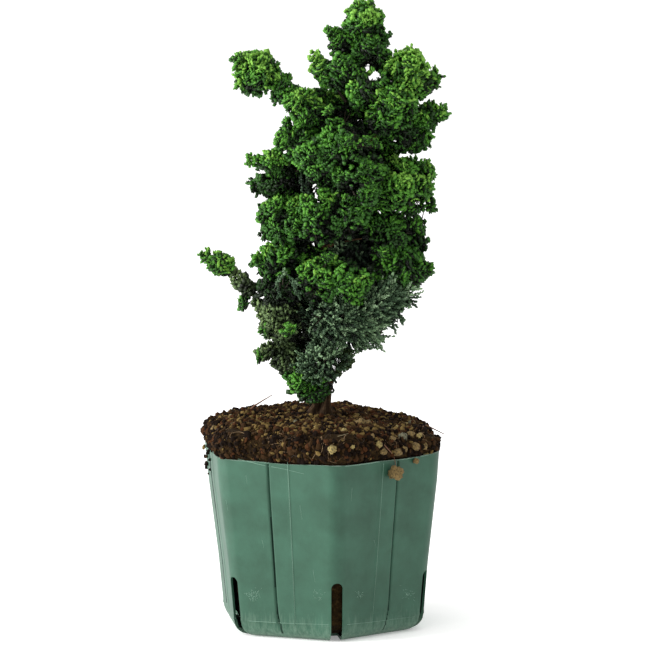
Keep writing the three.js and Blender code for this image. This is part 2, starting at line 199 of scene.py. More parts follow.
studio = {
    "floorRadius": 25,
    "floorColour": "#fafaf9",
    "floorGlow": 0.26,
    "skyColour": "#ffffff",
    "skyStrength": 0.92,
    "lampAim": (0, 0, 0.15),
    "keyPlace": (-2.4, -0.55, 0.75),  # the large soft box at the left
    "keySize": 1.3,
    "keyPower": 95,
    "topPlace": (-0.3, -0.5, 2.4),
    "topSize": 1.2,
    "topPower": 10,
}

floorMaterial, _, _ = newMaterial("studio paper", studio["floorColour"], 0.9,
                                  Emission_Strength=studio["floorGlow"])
bm = bmesh.new()
bmesh.ops.create_circle(bm, cap_ends=True, segments=64, radius=studio["floorRadius"])
floor = newObject("floor", meshFromBmesh("floor", bm), [floorMaterial])

world = bpy.data.worlds.new("studio")
world.use_nodes = True
background = world.node_tree.nodes["Background"]
background.inputs["Color"].default_value = linearColour(studio["skyColour"])
background.inputs["Strength"].default_value = studio["skyStrength"]
bpy.context.scene.world = world
bpy.context.scene.view_settings.view_transform = "Standard"

for name in ("key", "top"):
    lamp = bpy.data.lights.new(name, "AREA")
    lamp.size = studio[name + "Size"]
    lamp.energy = studio[name + "Power"]
    lampObject = bpy.data.objects.new(name, lamp)
    bpy.context.scene.collection.objects.link(lampObject)
    lampObject.location = studio[name + "Place"]
    towards = Vector(studio["lampAim"]) - lampObject.location
    lampObject.rotation_euler = towards.to_track_quat("-Z", "Y").to_euler()
print("camera, floor and light are in place")


# The line of sight through a place in the picture, in mm
def sightLine(column, row):
    middle = view["pictureSize"] / 2
    across = view["pictureWidth"] * ((column - middle) / view["pictureSize"])
    up = view["pictureWidth"] * ((middle - row) / view["pictureSize"])
    start = cameraObject.matrix_world.translation / mm
    towards = cameraObject.matrix_world.to_3x3() @ Vector((across, up, -view["distance"]))
    return start, towards.normalized()


# The point in mm that is seen at a place in the picture and lies at a given Y
def pointAtDepth(column, row, y):
    start, towards = sightLine(column, row)
    return start + towards * (y - start.y) / towards.y


pot = {
    "height": 94.7,
    "wall": 1.2,
    "floor": 1.5,
    "rimFlat": 58.5,  # from the axis to one of the six sides
    "shoulder": (80, 57.4),  # height, and from the axis to a side there
    "waist": (35, 52.4),
    "footFlat": 50.2,
    "footRadius": 9,
    "cornerRadius": 10.5,
    "sharpAngle": 38,  # degrees from which an edge is shaded sharp
    "turn": 7.4,  # degrees from -Y to the front corner
    "slitWidth": 5.9,
    "slitHeight": 32,
    "slitStart": 35,
    "cutterSpare": (15, 5),  # how far a slit's cutter stands out past the wall and under the floor
    "grooveShare": 0.586,  # of the way along a side, counted from the corner nearer the front
    "ribShare": 0.41,
    "grooveDepth": 1.2,
    "grooveWidth": 0.55,
    "grooveLean": (0.04, 6, 5),  # turns in to the rib at the foot: share of the side, up to where, and fade
    "ribHeight": 0.3,
    "ribWidth": 0.5,
    "bandShare": 0.6,  # height of the band between rib and groove, as a share of the rib's
    "bandEdge": 3,  # how steep its edges are
    "reliefFade": (3, 5),  # starts so far under the top of the rounded foot, and how far it takes
    "lineHeight": 8.9,  # of the mould's parting line over the ground
    "lineDepth": 0.25,
    "lineWidth": 0.22,
    "rimWave": 0.45,
    "rimWaves": ((1, 2, 0.9), (0.6, 5, 2.1), (0.35, 11, 0)),  # height, how many round the rim, and start
    "rimRoughness": 0.12,
    "green": "#254736",
    "paleGreen": "#2f5543",
    "paintedGrooveShade": "#142a20",  # painted shade in the grooves
    "paintedGrooveShadeWidth": 0.35,  # to each side of a groove's middle
    "dust": "#7f9885",
    "dustHeights": (34, 2),  # the film of dust starts at the first and is full at the second
    "cutEdge": "#9fb8a6",
}
# columns and rows in the picture through which each scratch runs, and half its width in mm
scratches = [
    ([(238, 459), (262, 465), (284, 469), (304, 474)], 0.14), ([(300, 505), (302, 520)], 0.06),
    ([(352, 488), (351, 502)], 0.06), ([(226, 500), (228, 511)], 0.08), ([(262, 540), (264, 548)], 0.06),
    ([(374, 540), (376, 548)], 0.06), ([(313, 570), (315, 582)], 0.06), ([(246, 475), (247, 484)], 0.06),
    ([(287.5, 462), (290, 510), (292.4, 560), (294.2, 600), (295.5, 629)], 0.11),
    ([(383.8, 461), (380.6, 510), (377.2, 560), (374.5, 595), (371.8, 628)], 0.09),
    ([(249, 621), (290, 623.4), (329, 624.6)], 0.1), ([(347, 624.6), (372, 622), (415, 616.5)], 0.1),
]
# where it is scuffed: column, row, half width and height in the picture, number of fine scratches
scuffs = [
    (253, 595, 8, 5, 70), (360, 594, 6, 4, 22), (408, 594, 7, 5, 30), (317, 594, 9, 5, 18),
    (236, 618, 5, 3, 14),
]
marks = {
    "pale": "#6d8d7b",
    "proud": 0.02,  # mm that a scratch's middle stands out
    "scuffSpread": 0.5,
    "scuffLengths": (0.4, 1.1),  # half of each, in columns
    "scuffRadii": (0.05, 0.1),
    "seed": 3,
    # a pale tube along the rim is a painted highlight on its lip
    "rimHighlightRadius": 0.2,
    "rimHighlightPoints": 15,  # along each side of the rim
    "rimHighlightInset": 0.998,
    # a dark tube down one groove, which is painted shade
    "shadeLineSide": 4,
    "shadeLineRadius": 0.4,
    "shadeLineOut": 0.1,
    "shadeLineFoot": 12,
    "shadeLinePoints": 14,
}


# The point at a share of the way round one side of a rounded hexagon, counted from corner to corner
def hexagonPoint(side, share, flat):
    radius = pot["cornerRadius"] * flat / pot["rimFlat"]
    straight = 2 * (flat - radius) * math.tan(math.radians(30))
    arc = radius * math.radians(30)
    place = share * (straight + 2 * arc)
    corner = math.radians(pot["turn"] - 90 + 60 * side)
    angle = corner + min(place, arc) / radius
    if place > arc + straight:
        corner += math.radians(60)
        angle = corner - (straight + 2 * arc - place) / radius
    centre = (flat - radius) / math.cos(math.radians(30))
    along = place - arc if arc < place <= arc + straight else 0
    x = centre * math.cos(corner) + radius * math.cos(angle) - along * math.sin(angle)
    y = centre * math.sin(corner) + radius * math.sin(angle) + along * math.cos(angle)
    return Vector((x, y, 0))


# A ring of edges on the rounded hexagon, drawn from a plain circle
def hexagonRing(bm, flat, height, shares):
    around = [(side, share) for side in range(6) for share in shares]
    verts = bmesh.ops.create_circle(bm, cap_ends=False, segments=len(around), radius=flat)["verts"]
    for vert, (side, share) in zip(verts, around):
        vert.co = hexagonPoint(side, share, flat) + Vector((0, 0, height))
    return list({edge for vert in verts for edge in vert.link_edges})


# Extrudes a ring of edges through (height, flat) levels, each one the ring before it moved and scaled
def raiseRing(bm, edges, start, levels):
    height, flat = start
    for newHeight, newFlat in levels:
        made = bmesh.ops.extrude_edge_only(bm, edges=edges)["geom"]
        verts = [item for item in made if isinstance(item, bmesh.types.BMVert)]
        edges = [item for item in made if isinstance(item, bmesh.types.BMEdge)]
        bmesh.ops.scale(bm, vec=(newFlat / flat, newFlat / flat, 1), verts=verts)
        bmesh.ops.translate(bm, vec=(0, 0, newHeight - height), verts=verts)
        height, flat = newHeight, newFlat
    return edges


def potFlatAt(height):
    if height < pot["footRadius"]:
        rise = 1 - height / pot["footRadius"]
        return pot["footFlat"] - pot["footRadius"] * (1 - math.sqrt(1 - rise ** 2))
    foot, rim = (pot["footRadius"], pot["footFlat"]), (pot["height"], pot["rimFlat"])
    return float(np.interp(height, *zip(foot, pot["waist"], pot["shoulder"], rim)))


# How far along its side a place is from the groove and from the rib, in mm, counted towards the groove
def sidePlace(place):
    azimuth = (math.degrees(math.atan2(place.y, place.x)) + 90 - pot["turn"]) % 360
    flat = potFlatAt(place.z)
    radius = pot["cornerRadius"] * flat / pot["rimFlat"]
    sideLength = 2 * (flat - radius) * math.tan(math.radians(30)) + radius * math.radians(60)
    along = flat * math.tan(math.radians(azimuth % 60 - 30)) / sideLength + 0.5
    share = along if azimuth < 180 else 1 - along
    most, foot, fade = pot["grooveLean"]
    lean = most * math.exp(-max(0, place.z - foot) / fade)
    return (share - pot["grooveShare"] + lean) * sideLength, (share - pot["ribShare"]) * sideLength


# How far the wall stands out: each side has a raised band between a fine rib and a dark groove
def sideRelief(place):
    under, rise = pot["reliefFade"]
    fade = min(1, max(0, (place.z - pot["footRadius"] + under) / rise))
    toGroove, toRib = sidePlace(place)
    toGroove, toRib = toGroove / pot["grooveWidth"], toRib / pot["ribWidth"]
    steep, share = pot["bandEdge"], pot["bandShare"]
    band = 1 / (1 + math.exp(-steep * toRib)) / (1 + math.exp(min(50, steep * toGroove)))
    relief = pot["ribHeight"] * (share * band + (1 - share) * math.exp(-toRib ** 2))
    relief -= pot["grooveDepth"] * math.exp(-toGroove ** 2)
    line = math.exp(-((place.z - pot["lineHeight"]) / pot["lineWidth"]) ** 2)
    return fade * relief + pot["lineDepth"] * line


# How uneven the cut rim is
def rimHeight(place):
    angle = math.atan2(place.y, place.x)
    wave = sum(height * math.sin(count * angle + start) for height, count, start in pot["rimWaves"])
    return pot["rimWave"] * wave + pot["rimRoughness"] * noise.noise(place * 0.6)


def slitCutters():
    bm = bmesh.new()
    past, under = pot["cutterSpare"]
    reach = pot["rimFlat"] + past - pot["slitStart"]
    tall = pot["slitHeight"] + under
    for corner in range(6):
        made = bmesh.ops.create_cube(bm, size=1)["verts"]
        bmesh.ops.scale(bm, vec=(reach, pot["slitWidth"], tall), verts=made)
        top = {edge for vert in made for edge in vert.link_edges if all(end.co.z > 0 for end in edge.verts)
               and abs(edge.verts[0].co.x - edge.verts[1].co.x) > 1}
        rounded = bmesh.ops.bevel(bm, geom=list(top), offset=pot["slitWidth"] * 0.49, segments=8,
                                  profile=0.5, affect="EDGES", material=-1)["verts"]
        made = [vert for vert in made if vert.is_valid and vert not in rounded] + rounded
        middle = (pot["slitStart"] + reach / 2, 0, pot["slitHeight"] - tall / 2)
        bmesh.ops.translate(bm, vec=middle, verts=made)
        turn = Matrix.Rotation(math.radians(pot["turn"] - 90 + 60 * corner), 3, "Z")
        bmesh.ops.rotate(bm, verts=made, matrix=turn)
    bmesh.ops.scale(bm, vec=(mm, mm, mm), verts=bm.verts)
    return newObject("slit cutters", meshFromBmesh("slit cutters", bm), [])


# The mesh of an object with its modifiers applied; the object is left out
def appliedMesh(piece, name):
    graph = bpy.context.evaluated_depsgraph_get()
    mesh = bpy.data.meshes.new_from_object(piece.evaluated_get(graph))
    mesh.name = name
    bpy.data.objects.remove(piece)
    return mesh


def makePot():
    # shares of a side where its points stand: close together at the corners, the rib and the groove
    corners = list(np.linspace(0, 0.09, 9))
    lines = list(np.linspace(0.37, 0.44, 11)) + list(np.linspace(0.525, 0.62, 27))
    between = [0.13, 0.19, 0.25, 0.31, 0.35, 0.46, 0.485, 0.51, 0.65, 0.69, 0.75, 0.81, 0.87]
    shares = corners + sorted(lines + between) + [1 - share for share in corners[:0:-1]]
    bm = bmesh.new()
    foot = pot["footFlat"] - pot["footRadius"]
    edges = hexagonRing(bm, foot, 0, shares)
    bmesh.ops.contextual_create(bm, geom=edges)
    line = pot["lineHeight"]
    heights = [0.15, 0.5, 1.1, 2, 3.2, 4.6, 6, line - 0.4, line - 0.2, line, line + 0.2, line + 0.4, 9, 11]
    heights += list(np.arange(13.5, pot["height"] - 3, 2.9)) + [pot["height"] - 0.5, pot["height"]]
    edges = raiseRing(bm, edges, (0, foot), [(height, potFlatAt(height)) for height in heights])
    for vert in bm.verts:
        outward = Vector((vert.co.x, vert.co.y, 0)).normalized()
        vert.co += outward * sideRelief(vert.co)
    turns = (pot["height"], pot["shoulder"][0], pot["waist"][0], 10, 4)
    inside = [(height, potFlatAt(height) - pot["wall"]) for height in turns]
    edges = raiseRing(bm, edges, (pot["height"], pot["rimFlat"]), inside + [(pot["floor"], foot)])
    bmesh.ops.contextual_create(bm, geom=edges)
    for vert in bm.verts:
        if vert.co.z > pot["height"] - 0.6:
            vert.co.z += rimHeight(vert.co)
    bmesh.ops.recalc_face_normals(bm, faces=bm.faces)
    bmesh.ops.scale(bm, vec=(mm, mm, mm), verts=bm.verts)
    shell = newObject("shell", meshFromBmesh("shell", bm), [])
    cutters = slitCutters()
    cut = shell.modifiers.new("slits", "BOOLEAN")
    cut.operation = "DIFFERENCE"
    cut.solver = "EXACT"
    cut.object = cutters
    mesh = appliedMesh(shell, "pot")
    bpy.data.objects.remove(cutters)
    mesh.polygons.foreach_set("use_smooth", [True] * len(mesh.polygons))
    mesh.set_sharp_from_angle(angle=math.radians(pot["sharpAngle"]))
    piece = newObject("nursery_pot", mesh, [potMaterial(), cutEdgeMaterial(), paintedGrooveShadeMaterial()])
    for face in mesh.polygons:
        middle = face.center / mm
        if face.normal.z > 0.8 and middle.z > pot["height"] - 3:
            face.material_index = 1
        elif middle.xy.length > potFlatAt(middle.z) - 0.9 * pot["wall"] and middle.z > 3:
            # the middle of each groove takes the painted groove shade
            face.material_index = 2 if abs(sidePlace(middle)[0]) < pot["paintedGrooveShadeWidth"] else 0
    return piece


# Polypropylene, injection moulded: an even satin green, with a film of dust and lime on its foot
def potMaterial():
    material, tree, shader = newMaterial("moulded polypropylene", pot["green"], 0.42, Specular_IOR_Level=0.32)
    place = addNode(tree, "TexCoord").outputs["Object"]
    height = addNode(tree, "SeparateXYZ", links={0: place}).outputs["Z"]
    cloud = addNoise(tree, place, 16, 5, Roughness=0.6)
    tone = addNode(tree, "ValToRGB", {"stops": {0.35: pot["green"], 0.65: pot["paleGreen"]}}, {0: cloud})
    streaks = addNode(tree, "Mapping", {"Scale": (1, 1, 0.12)}, {"Vector": place})
    wear = addNoise(tree, streaks.outputs[0], 1.6, 6, Roughness=0.72)
    start, full = pot["dustHeights"]
    foot = addRange(tree, height, start * mm, full * mm)
    amount = addNode(tree, "Math", {"operation": "MULTIPLY"}, {0: wear, 1: foot})
    film = addRange(tree, amount.outputs[0], 0.33, 0.75, high=0.55)
    dusty = layColour(tree, film, tone.outputs[0], pot["dust"])
    tree.links.new(dusty, shader.inputs["Base Color"])
    tree.links.new(addRange(tree, wear, 0, 1, 0.38, 0.62), shader.inputs["Roughness"])
    addBump(tree, shader, addNoise(tree, place, 0.7, 3), 0.25, 0.12)
    return material


# The same plastic where it was cut down with a knife: pale and matt
def cutEdgeMaterial():
    return newMaterial("cut polypropylene", pot["cutEdge"], 0.7)[0]


# The bottom of the moulded grooves, painted dark as shade
def paintedGrooveShadeMaterial():
    return newMaterial("polypropylene with painted groove shade", pot["paintedGrooveShade"], 0.8, Specular_IOR_Level=0.2)[0]


# Round tubes along several lines of points in mm, thinner by a share towards their ends
def tubeMesh(name, lines, radii, taper=0.6):
    curve = bpy.data.curves.new(name, "CURVE")
    curve.dimensions = "3D"
    curve.bevel_depth = mm
    curve.bevel_resolution = 1
    curve.use_fill_caps = True
    for line, radius in zip(lines, radii):
        spline = curve.splines.new("POLY")
        spline.points.add(len(line) - 1)
        for i, point in enumerate(line):
            spline.points[i].co = (*(point * mm), 1)
            spline.points[i].radius = radius * (1 - taper * i / (len(line) - 1))
    piece = bpy.data.objects.new(name, curve)
    bpy.context.scene.collection.objects.link(piece)
    mesh = appliedMesh(piece, name)
    bpy.data.curves.remove(curve)
    return mesh


# What lines of sight and rays are cast at, in mm
def surfaceOf(piece):
    return BVHTree.FromPolygons([vert.co / mm for vert in piece.data.vertices],
                                [list(face.vertices) for face in piece.data.polygons])


potSurface = surfaceOf(keepPiece(makePot(), ["pot"]))
print("pot is in place")

rootBall = {
    "bottomFlat": 36,
    "chamferHeight": 8.5,
    "side": [(95.2, 57.1), (98, 58), (102.8, 58), (105.2, 57), (107.2, 55.2), (109, 51.7), (109.9, 47)],
    "topFlats": (40, 33, 26, 19, 12, 6, 2),
    "topHeight": 110.1,
    "gap": 2.2,  # between it and the pot's wall
    "slump": (4.2, 12, 46),  # the right side lies lower: by how much, and from one X to the other
    "slumpHeights": (97, 109),  # from where it slumps to where it does in full
    "pressed": (0.4, 0.5),  # up to so far over the rim it is pressed in, and by how much
    "step": 1.3,  # between the rings of its skin
    "lumps": ((9, 1.0), (3.4, 0.75), (1.3, 0.35)),  # size and depth of the unevenness
    "dark": "#120b05",
    "mid": "#231808",
    "light": "#41311a",
}


# Puts further levels between those given, so that no step is longer than wanted
def finerLevels(levels, step):
    finer = [levels[0]]
    for (height, flat), (nextHeight, nextFlat) in zip(levels, levels[1:]):
        count = max(1, round(math.hypot(nextHeight - height, nextFlat - flat) / step))
        for i in range(1, count + 1):
            finer.append((height + (nextHeight - height) * i / count, flat + (nextFlat - flat) * i / count))
    return finer


def smoothStep(value, start, end):
    share = min(1, max(0, (value - start) / (end - start)))
    return share * share * (3 - 2 * share)


def makeRootBall():
    corners = list(np.linspace(0, 0.09, 6))
    shares = corners + list(np.linspace(0.11, 0.89, 39)) + [1 - share for share in corners[:0:-1]]
    gap = pot["wall"] + rootBall["gap"]
    heights = [rootBall["chamferHeight"], pot["slitHeight"] + 2, 40, 60, 80, pot["height"] - 2]
    inPot = [(height, potFlatAt(height) - gap) for height in heights]
    top = [(rootBall["topHeight"], flat) for flat in rootBall["topFlats"]]
    low = finerLevels([(pot["floor"] + 0.3, rootBall["bottomFlat"])] + inPot[:2], rootBall["step"])
    high = finerLevels(inPot[-1:] + rootBall["side"] + top, rootBall["step"])
    levels = low + inPot[2:-1] + high  # coarse where the wall hides it
    bm = bmesh.new()
    edges = hexagonRing(bm, levels[0][1], levels[0][0], shares)
    bmesh.ops.contextual_create(bm, geom=edges)
    edges = raiseRing(bm, edges, levels[0], levels[1:])
    bmesh.ops.contextual_create(bm, geom=edges)
    bmesh.ops.recalc_face_normals(bm, faces=bm.faces)
    bm.normal_update()
    drop, start, end = rootBall["slump"]
    over, inwards = rootBall["pressed"]
    for vert in bm.verts:
        point = vert.co.copy()
        push = sum(depth * noise.noise(point / size + Vector((7, 3, size)))
                   for size, depth in rootBall["lumps"])
        if point.z < pot["height"] + over:
            push = min(0, push - inwards)
        vert.co += vert.normal * push
        vert.co.z -= drop * smoothStep(point.x, start, end) * smoothStep(point.z, *rootBall["slumpHeights"])
    bmesh.ops.scale(bm, vec=(mm, mm, mm), verts=bm.verts)
    return newObject("root_ball", meshFromBmesh("root_ball", bm), [soilMaterial()])


# Peaty potting soil: dull, dark and crumbly, with paler dry grains
def soilMaterial():
    material, tree, shader = newMaterial("peaty soil", rootBall["mid"], 1, Specular_IOR_Level=0.1)
    place = addNode(tree, "TexCoord").outputs["Object"]
    crumbly = addNoise(tree, place, 2.2, 8, Roughness=0.7)
    stops = {0.3: rootBall["dark"], 0.5: rootBall["mid"], 0.72: rootBall["light"]}
    tone = addNode(tree, "ValToRGB", {"stops": stops}, {0: crumbly})
    tree.links.new(tone.outputs[0], shader.inputs["Base Color"])
    addBump(tree, shader, crumbly, 0.9, 0.7)
    return material


ballSurface = surfaceOf(keepPiece(makeRootBall(), ["soil"]))

crumbs = {
    "onTop": 7500,
    "topReach": 55,
    "onSide": 4000,
    "sideHeights": (95.8, 108),
    "sizes": (0.25, 1.9),  # radius
    "fineness": 2.5,  # the higher, the more of them are small
    "stretch": (0.5, 1.3),
    "sink": 0.35,  # share of the radius that is buried
    "heaped": (420, -1.4, -1.5),  # round the foot of the trunk: how many, and the middle in mm
    "heapReach": (5.5, 10.5),
    "heapSizes": (0.5, 1.5),
    "heapRise": (8.5, 0.2, 0.8),  # within this reach it rises, by these shares of the way further in
    "colours": {"dark_crumbs": "#130b06", "brown_crumbs": "#322212", "tan_crumbs": "#65532f",
                "russet_crumbs": "#3d2412"},
    "topShares": (0.24, 0.33, 0.29, 0.14),
    "sideShares": (0.5, 0.32, 0.05, 0.13),
    # column, row and size of the crumbs that hang over the rim on the left
    "clinging": [
        (203, 447, 1.6), (202, 451, 1.3), (205, 453, 1.5), (203, 457, 1.3), (205, 460, 1.2), (204, 464, 1.4),
        (206, 467, 1.2), (205, 470, 1), (206, 474, 0.7), (207, 456, 1.2), (207, 462, 1), (208, 451, 1.3),
    ],
    "clingingStretch": (0.7, 1.2),
    "clingingDepths": (22, -12),  # their Y in mm
    "seed": 11,
}


# A point on the root ball with its normal: straight down on its top, or from outside on its side
def topPoint(x, y):
    hit, normal, _, _ = ballSurface.ray_cast(Vector((x, y, 130)), Vector((0, 0, -1)))
    return hit, normal


def sidePoint(angle, height):
    outward = Vector((math.cos(angle), math.sin(angle), 0))
    hit, normal, _, _ = ballSurface.ray_cast(outward * 90 + Vector((0, 0, height)), -outward)
    return hit, normal


# A chance point on the ball's top, with its normal
def chanceOnTop(random, furthest):
    reach, angle = furthest * math.sqrt(random.random()), random.uniform(0, 2 * math.pi)
    return topPoint(reach * math.cos(angle), reach * math.sin(angle))


# Points in mm along a line in the picture, where it lies on the pot or the ball, a little proud of them
def lyingLine(places, proud):
    line = []
    for (column, row), (nextColumn, nextRow) in zip(places, places[1:]):
        count = max(1, round(math.hypot(nextColumn - column, nextRow - row) / 3))
        for i in range(count + 1):
            share = i / count
            start, towards = sightLine(column + (nextColumn - column) * share, row + (nextRow - row) * share)
            hits = [surface.ray_cast(start, towards) for surface in (potSurface, ballSurface)]
            hits = [hit for hit in hits if hit[0] is not None]
            if hits:
                point, normal, _, _ = min(hits, key=lambda hit: hit[3])
                line.append(point + normal * proud)
            elif line:  # past the edge: goes on in the air
                line.append(start + towards * (line[-1].y - start.y) / towards.y)
    return line


def randomTurn(random):
    return Matrix.Rotation(random.uniform(0, 2 * math.pi), 3, "Z") @ \
        Matrix.Rotation(math.acos(random.uniform(-1, 1)), 3, "X") @ \
        Matrix.Rotation(random.uniform(0, 2 * math.pi), 3, "Z")


# The 3 x 4 matrix that turns, stretches and moves a small shape
def placeMatrix(turn, stretch, point):
    rows = np.array(turn @ Matrix.Diagonal(stretch)) * mm
    return np.column_stack([rows, np.array(point) * mm])


# A grain of radius 1, made uneven by coarse and fine noise
def roughGrain(subdivisions, seed):
    bm = bmesh.new()
    bmesh.ops.create_icosphere(bm, subdivisions=subdivisions, radius=1)
    for vert in bm.verts:
        place = vert.co + Vector((seed, 0, 0))
        vert.co *= 1 + 0.35 * noise.noise(place * 1.3) + 0.3 * noise.noise(place * 3.1)
    return shapeArrays(bm)


def scatterCrumbs():
    random = np.random.default_rng(crumbs["seed"])
    places = {name: [] for name in crumbs["colours"]}
    proud = 1 - 2 * crumbs["sink"]
    count, middleX, middleY = crumbs["heaped"]
    riseReach, *rise = crumbs["heapRise"]
    for _ in range(count):
        reach, angle = random.uniform(*crumbs["heapReach"]), random.uniform(0, 2 * math.pi)
        hit, normal = topPoint(middleX + reach * math.cos(angle), middleY + reach * math.sin(angle))
        size = random.uniform(*crumbs["heapSizes"])
        stretch = [size * random.uniform(*crumbs["stretch"]) for _ in range(3)]
        kind = random.choice(list(places), p=crumbs["topShares"])
        centre = hit + normal * (size * proud + max(0, riseReach - reach) * random.uniform(*rise))
        places[kind].append(placeMatrix(randomTurn(random), stretch, centre))
    for i in range(crumbs["onTop"] + crumbs["onSide"]):
        onTop = i < crumbs["onTop"]
        if onTop:
            hit, normal = chanceOnTop(random, crumbs["topReach"])
        else:
            hit, normal = sidePoint(random.uniform(0, 2 * math.pi), random.uniform(*crumbs["sideHeights"]))
        size = between(crumbs["sizes"], random.random() ** crumbs["fineness"])
        kind = random.choice(list(places), p=crumbs["topShares" if onTop else "sideShares"])
        stretch = [size * random.uniform(*crumbs["stretch"]) for _ in range(3)]
        places[kind].append(placeMatrix(randomTurn(random), stretch, hit + normal * size * proud))
    for column, row, size in crumbs["clinging"]:
        seen = pointAtDepth(column, row, between(crumbs["clingingDepths"], random.random() ** 2))
        point, normal, _, _ = potSurface.find_nearest(seen)
        stretch = [size * random.uniform(*crumbs["clingingStretch"]) for _ in range(3)]
        kind = random.choice(list(places), p=crumbs["sideShares"])
        places[kind].append(placeMatrix(randomTurn(random), stretch, point + normal * size * 0.5))
    for number, (name, colour) in enumerate(crumbs["colours"].items()):
        material, _, _ = newMaterial(name.replace("_", " ") + " of peat", colour, 1, Specular_IOR_Level=0.1)
        mesh = repeatShape(name, roughGrain(1, number), places[name], smooth=False)
        keepPiece(newObject(name, mesh, [material]))


scatterCrumbs()

stones = {
    "colours": {"clay_grains": "#7a6438", "pumice_grains": "#988650", "grit_grains": "#68654f"},
    "scattered": 60,
    "shares": (0.55, 0.3, 0.15),
    "topReach": 54,
    "sizes": (0.8, 1.7),
    "stretch": (0.7, 1.1),
    "seed": 5,
    "placedScale": 0.85,
    "placedStretch": (1, 0.85, 0.8),
    # kind, picture column and row, radius in mm
    "placed": [
        ("pumice_grains", 332, 450, 3.2), ("clay_grains", 360, 424, 3.4), ("clay_grains", 367, 425, 3.0),
        ("grit_grains", 402, 439, 3.3), ("pumice_grains", 378, 445, 2.6), ("clay_grains", 382, 451, 2.8),
        ("clay_grains", 397, 452, 2.9), ("clay_grains", 415, 446, 3.1), ("pumice_grains", 425, 455, 2.3),
        ("clay_grains", 410, 436, 3.0), ("clay_grains", 392, 440, 2.5), ("pumice_grains", 419, 437, 2.2),
        ("clay_grains", 404, 449, 2.3), ("pumice_grains", 344, 432, 2.0), ("clay_grains", 214, 429, 2.0),
        ("clay_grains", 424, 446, 2.2), ("pumice_grains", 352, 447, 1.7), ("clay_grains", 372, 437, 1.9),
    ],
    # one that a root holds over the rim, and one that sticks to the pot
    "overRim": [("clay_grains", 395.8, 473, 3.9), ("clay_grains", 416, 461, 1.6)],
    "overRimStretch": (1, 0.9, 0.95),
}


def placeStones():
    random = np.random.default_rng(stones["seed"])
    places = {name: [] for name in stones["colours"]}
    for kind, column, row, size in stones["placed"]:
        hit, normal, _, _ = ballSurface.ray_cast(*sightLine(column, row))
        if hit is None:
            continue
        stretch = [stones["placedScale"] * size * share for share in stones["placedStretch"]]
        places[kind].append(placeMatrix(randomTurn(random), stretch, hit + normal * size * 0.2))
    for _ in range(stones["scattered"]):
        hit, normal = chanceOnTop(random, stones["topReach"])
        size = random.uniform(*stones["sizes"])
        kind = random.choice(list(places), p=stones["shares"])
        stretch = [size * random.uniform(*stones["stretch"]) for _ in range(3)]
        places[kind].append(placeMatrix(randomTurn(random), stretch, hit + normal * size * 0.3))
    for kind, column, row, size in stones["overRim"]:
        start, towards = sightLine(column, row)
        hit, normal, _, _ = potSurface.ray_cast(start, towards)
        centre = hit - towards * size / -towards.dot(normal)
        stretch = [size * share for share in stones["overRimStretch"]]
        places[kind].append(placeMatrix(Matrix.Identity(3), stretch, centre))
    for number, (name, colour) in enumerate(stones["colours"].items()):
        mesh = repeatShape(name, roughGrain(3, number + 9), places[name])
        keepPiece(newObject(name, mesh, [grainMaterial(name, colour)]))


# Fired clay, pumice and grit: dull porous grains, painted darker where the bump is low, as shade in their
# pores
def grainMaterial(name, colour):
    material, tree, shader = newMaterial(name.replace("_", " "), colour, 0.9)
    place = addNode(tree, "TexCoord").outputs["Object"]
    pores = addNoise(tree, place, 0.9, 5, Roughness=0.7)
    darker = addNode(tree, "HueSaturation", {"Value": 0.18, "Color": linearColour(colour)})
    poreShaded = layColour(tree, addRange(tree, pores, 0.38, 0.56), darker.outputs[0], colour)
    tree.links.new(poreShaded, shader.inputs["Base Color"])
    addBump(tree, shader, pores, 0.9, 0.5)
    return material


placeStones()

fibres = {
    "count": 100,
    "steps": 9,
    "stride": 2.1,
    "wander": 0.7,  # how much the heading changes at each step
    "proud": (0.1, 0.9),
    "heights": (96, 110),
    "lowest": 96.5,
    "radii": (0.1, 0.24),
    "colours": {"dark_roots": "#2c1d12", "pale_roots": "#6d5639"},
    "seed": 23,
}


# Fine roots creep over the skin of the ball, a little proud of it
def layRoots():
    random = np.random.default_rng(fibres["seed"])
    lines = {name: [] for name in fibres["colours"]}
    for _ in range(fibres["count"]):
        hit, normal = sidePoint(random.uniform(0, 2 * math.pi), random.uniform(*fibres["heights"]))
        heading = Vector((random.normal(), random.normal(), 0.8 * random.normal()))
        line = [hit - normal]
        point = hit
        for _ in range(fibres["steps"]):
            heading += fibres["wander"] * Vector(random.normal(size=3))
            heading = (heading - normal * heading.dot(normal)).normalized()
            point = point + heading * fibres["stride"]
            if point.z < fibres["lowest"]:
                heading.z = abs(heading.z)
                point.z = fibres["lowest"]
            point, normal, _, _ = ballSurface.find_nearest(point)
            line.append(point + normal * random.uniform(*fibres["proud"]))
        lines[random.choice(list(lines), p=(0.5, 0.5))].append(line)
    for name, colour in fibres["colours"].items():
        material, _, _ = newMaterial(name.replace("_", " "), colour, 0.8)
        radii = [random.uniform(*fibres["radii"]) for _ in lines[name]]
        keepPiece(newObject(name, tubeMesh(name, lines[name], radii), [material]))


layRoots()

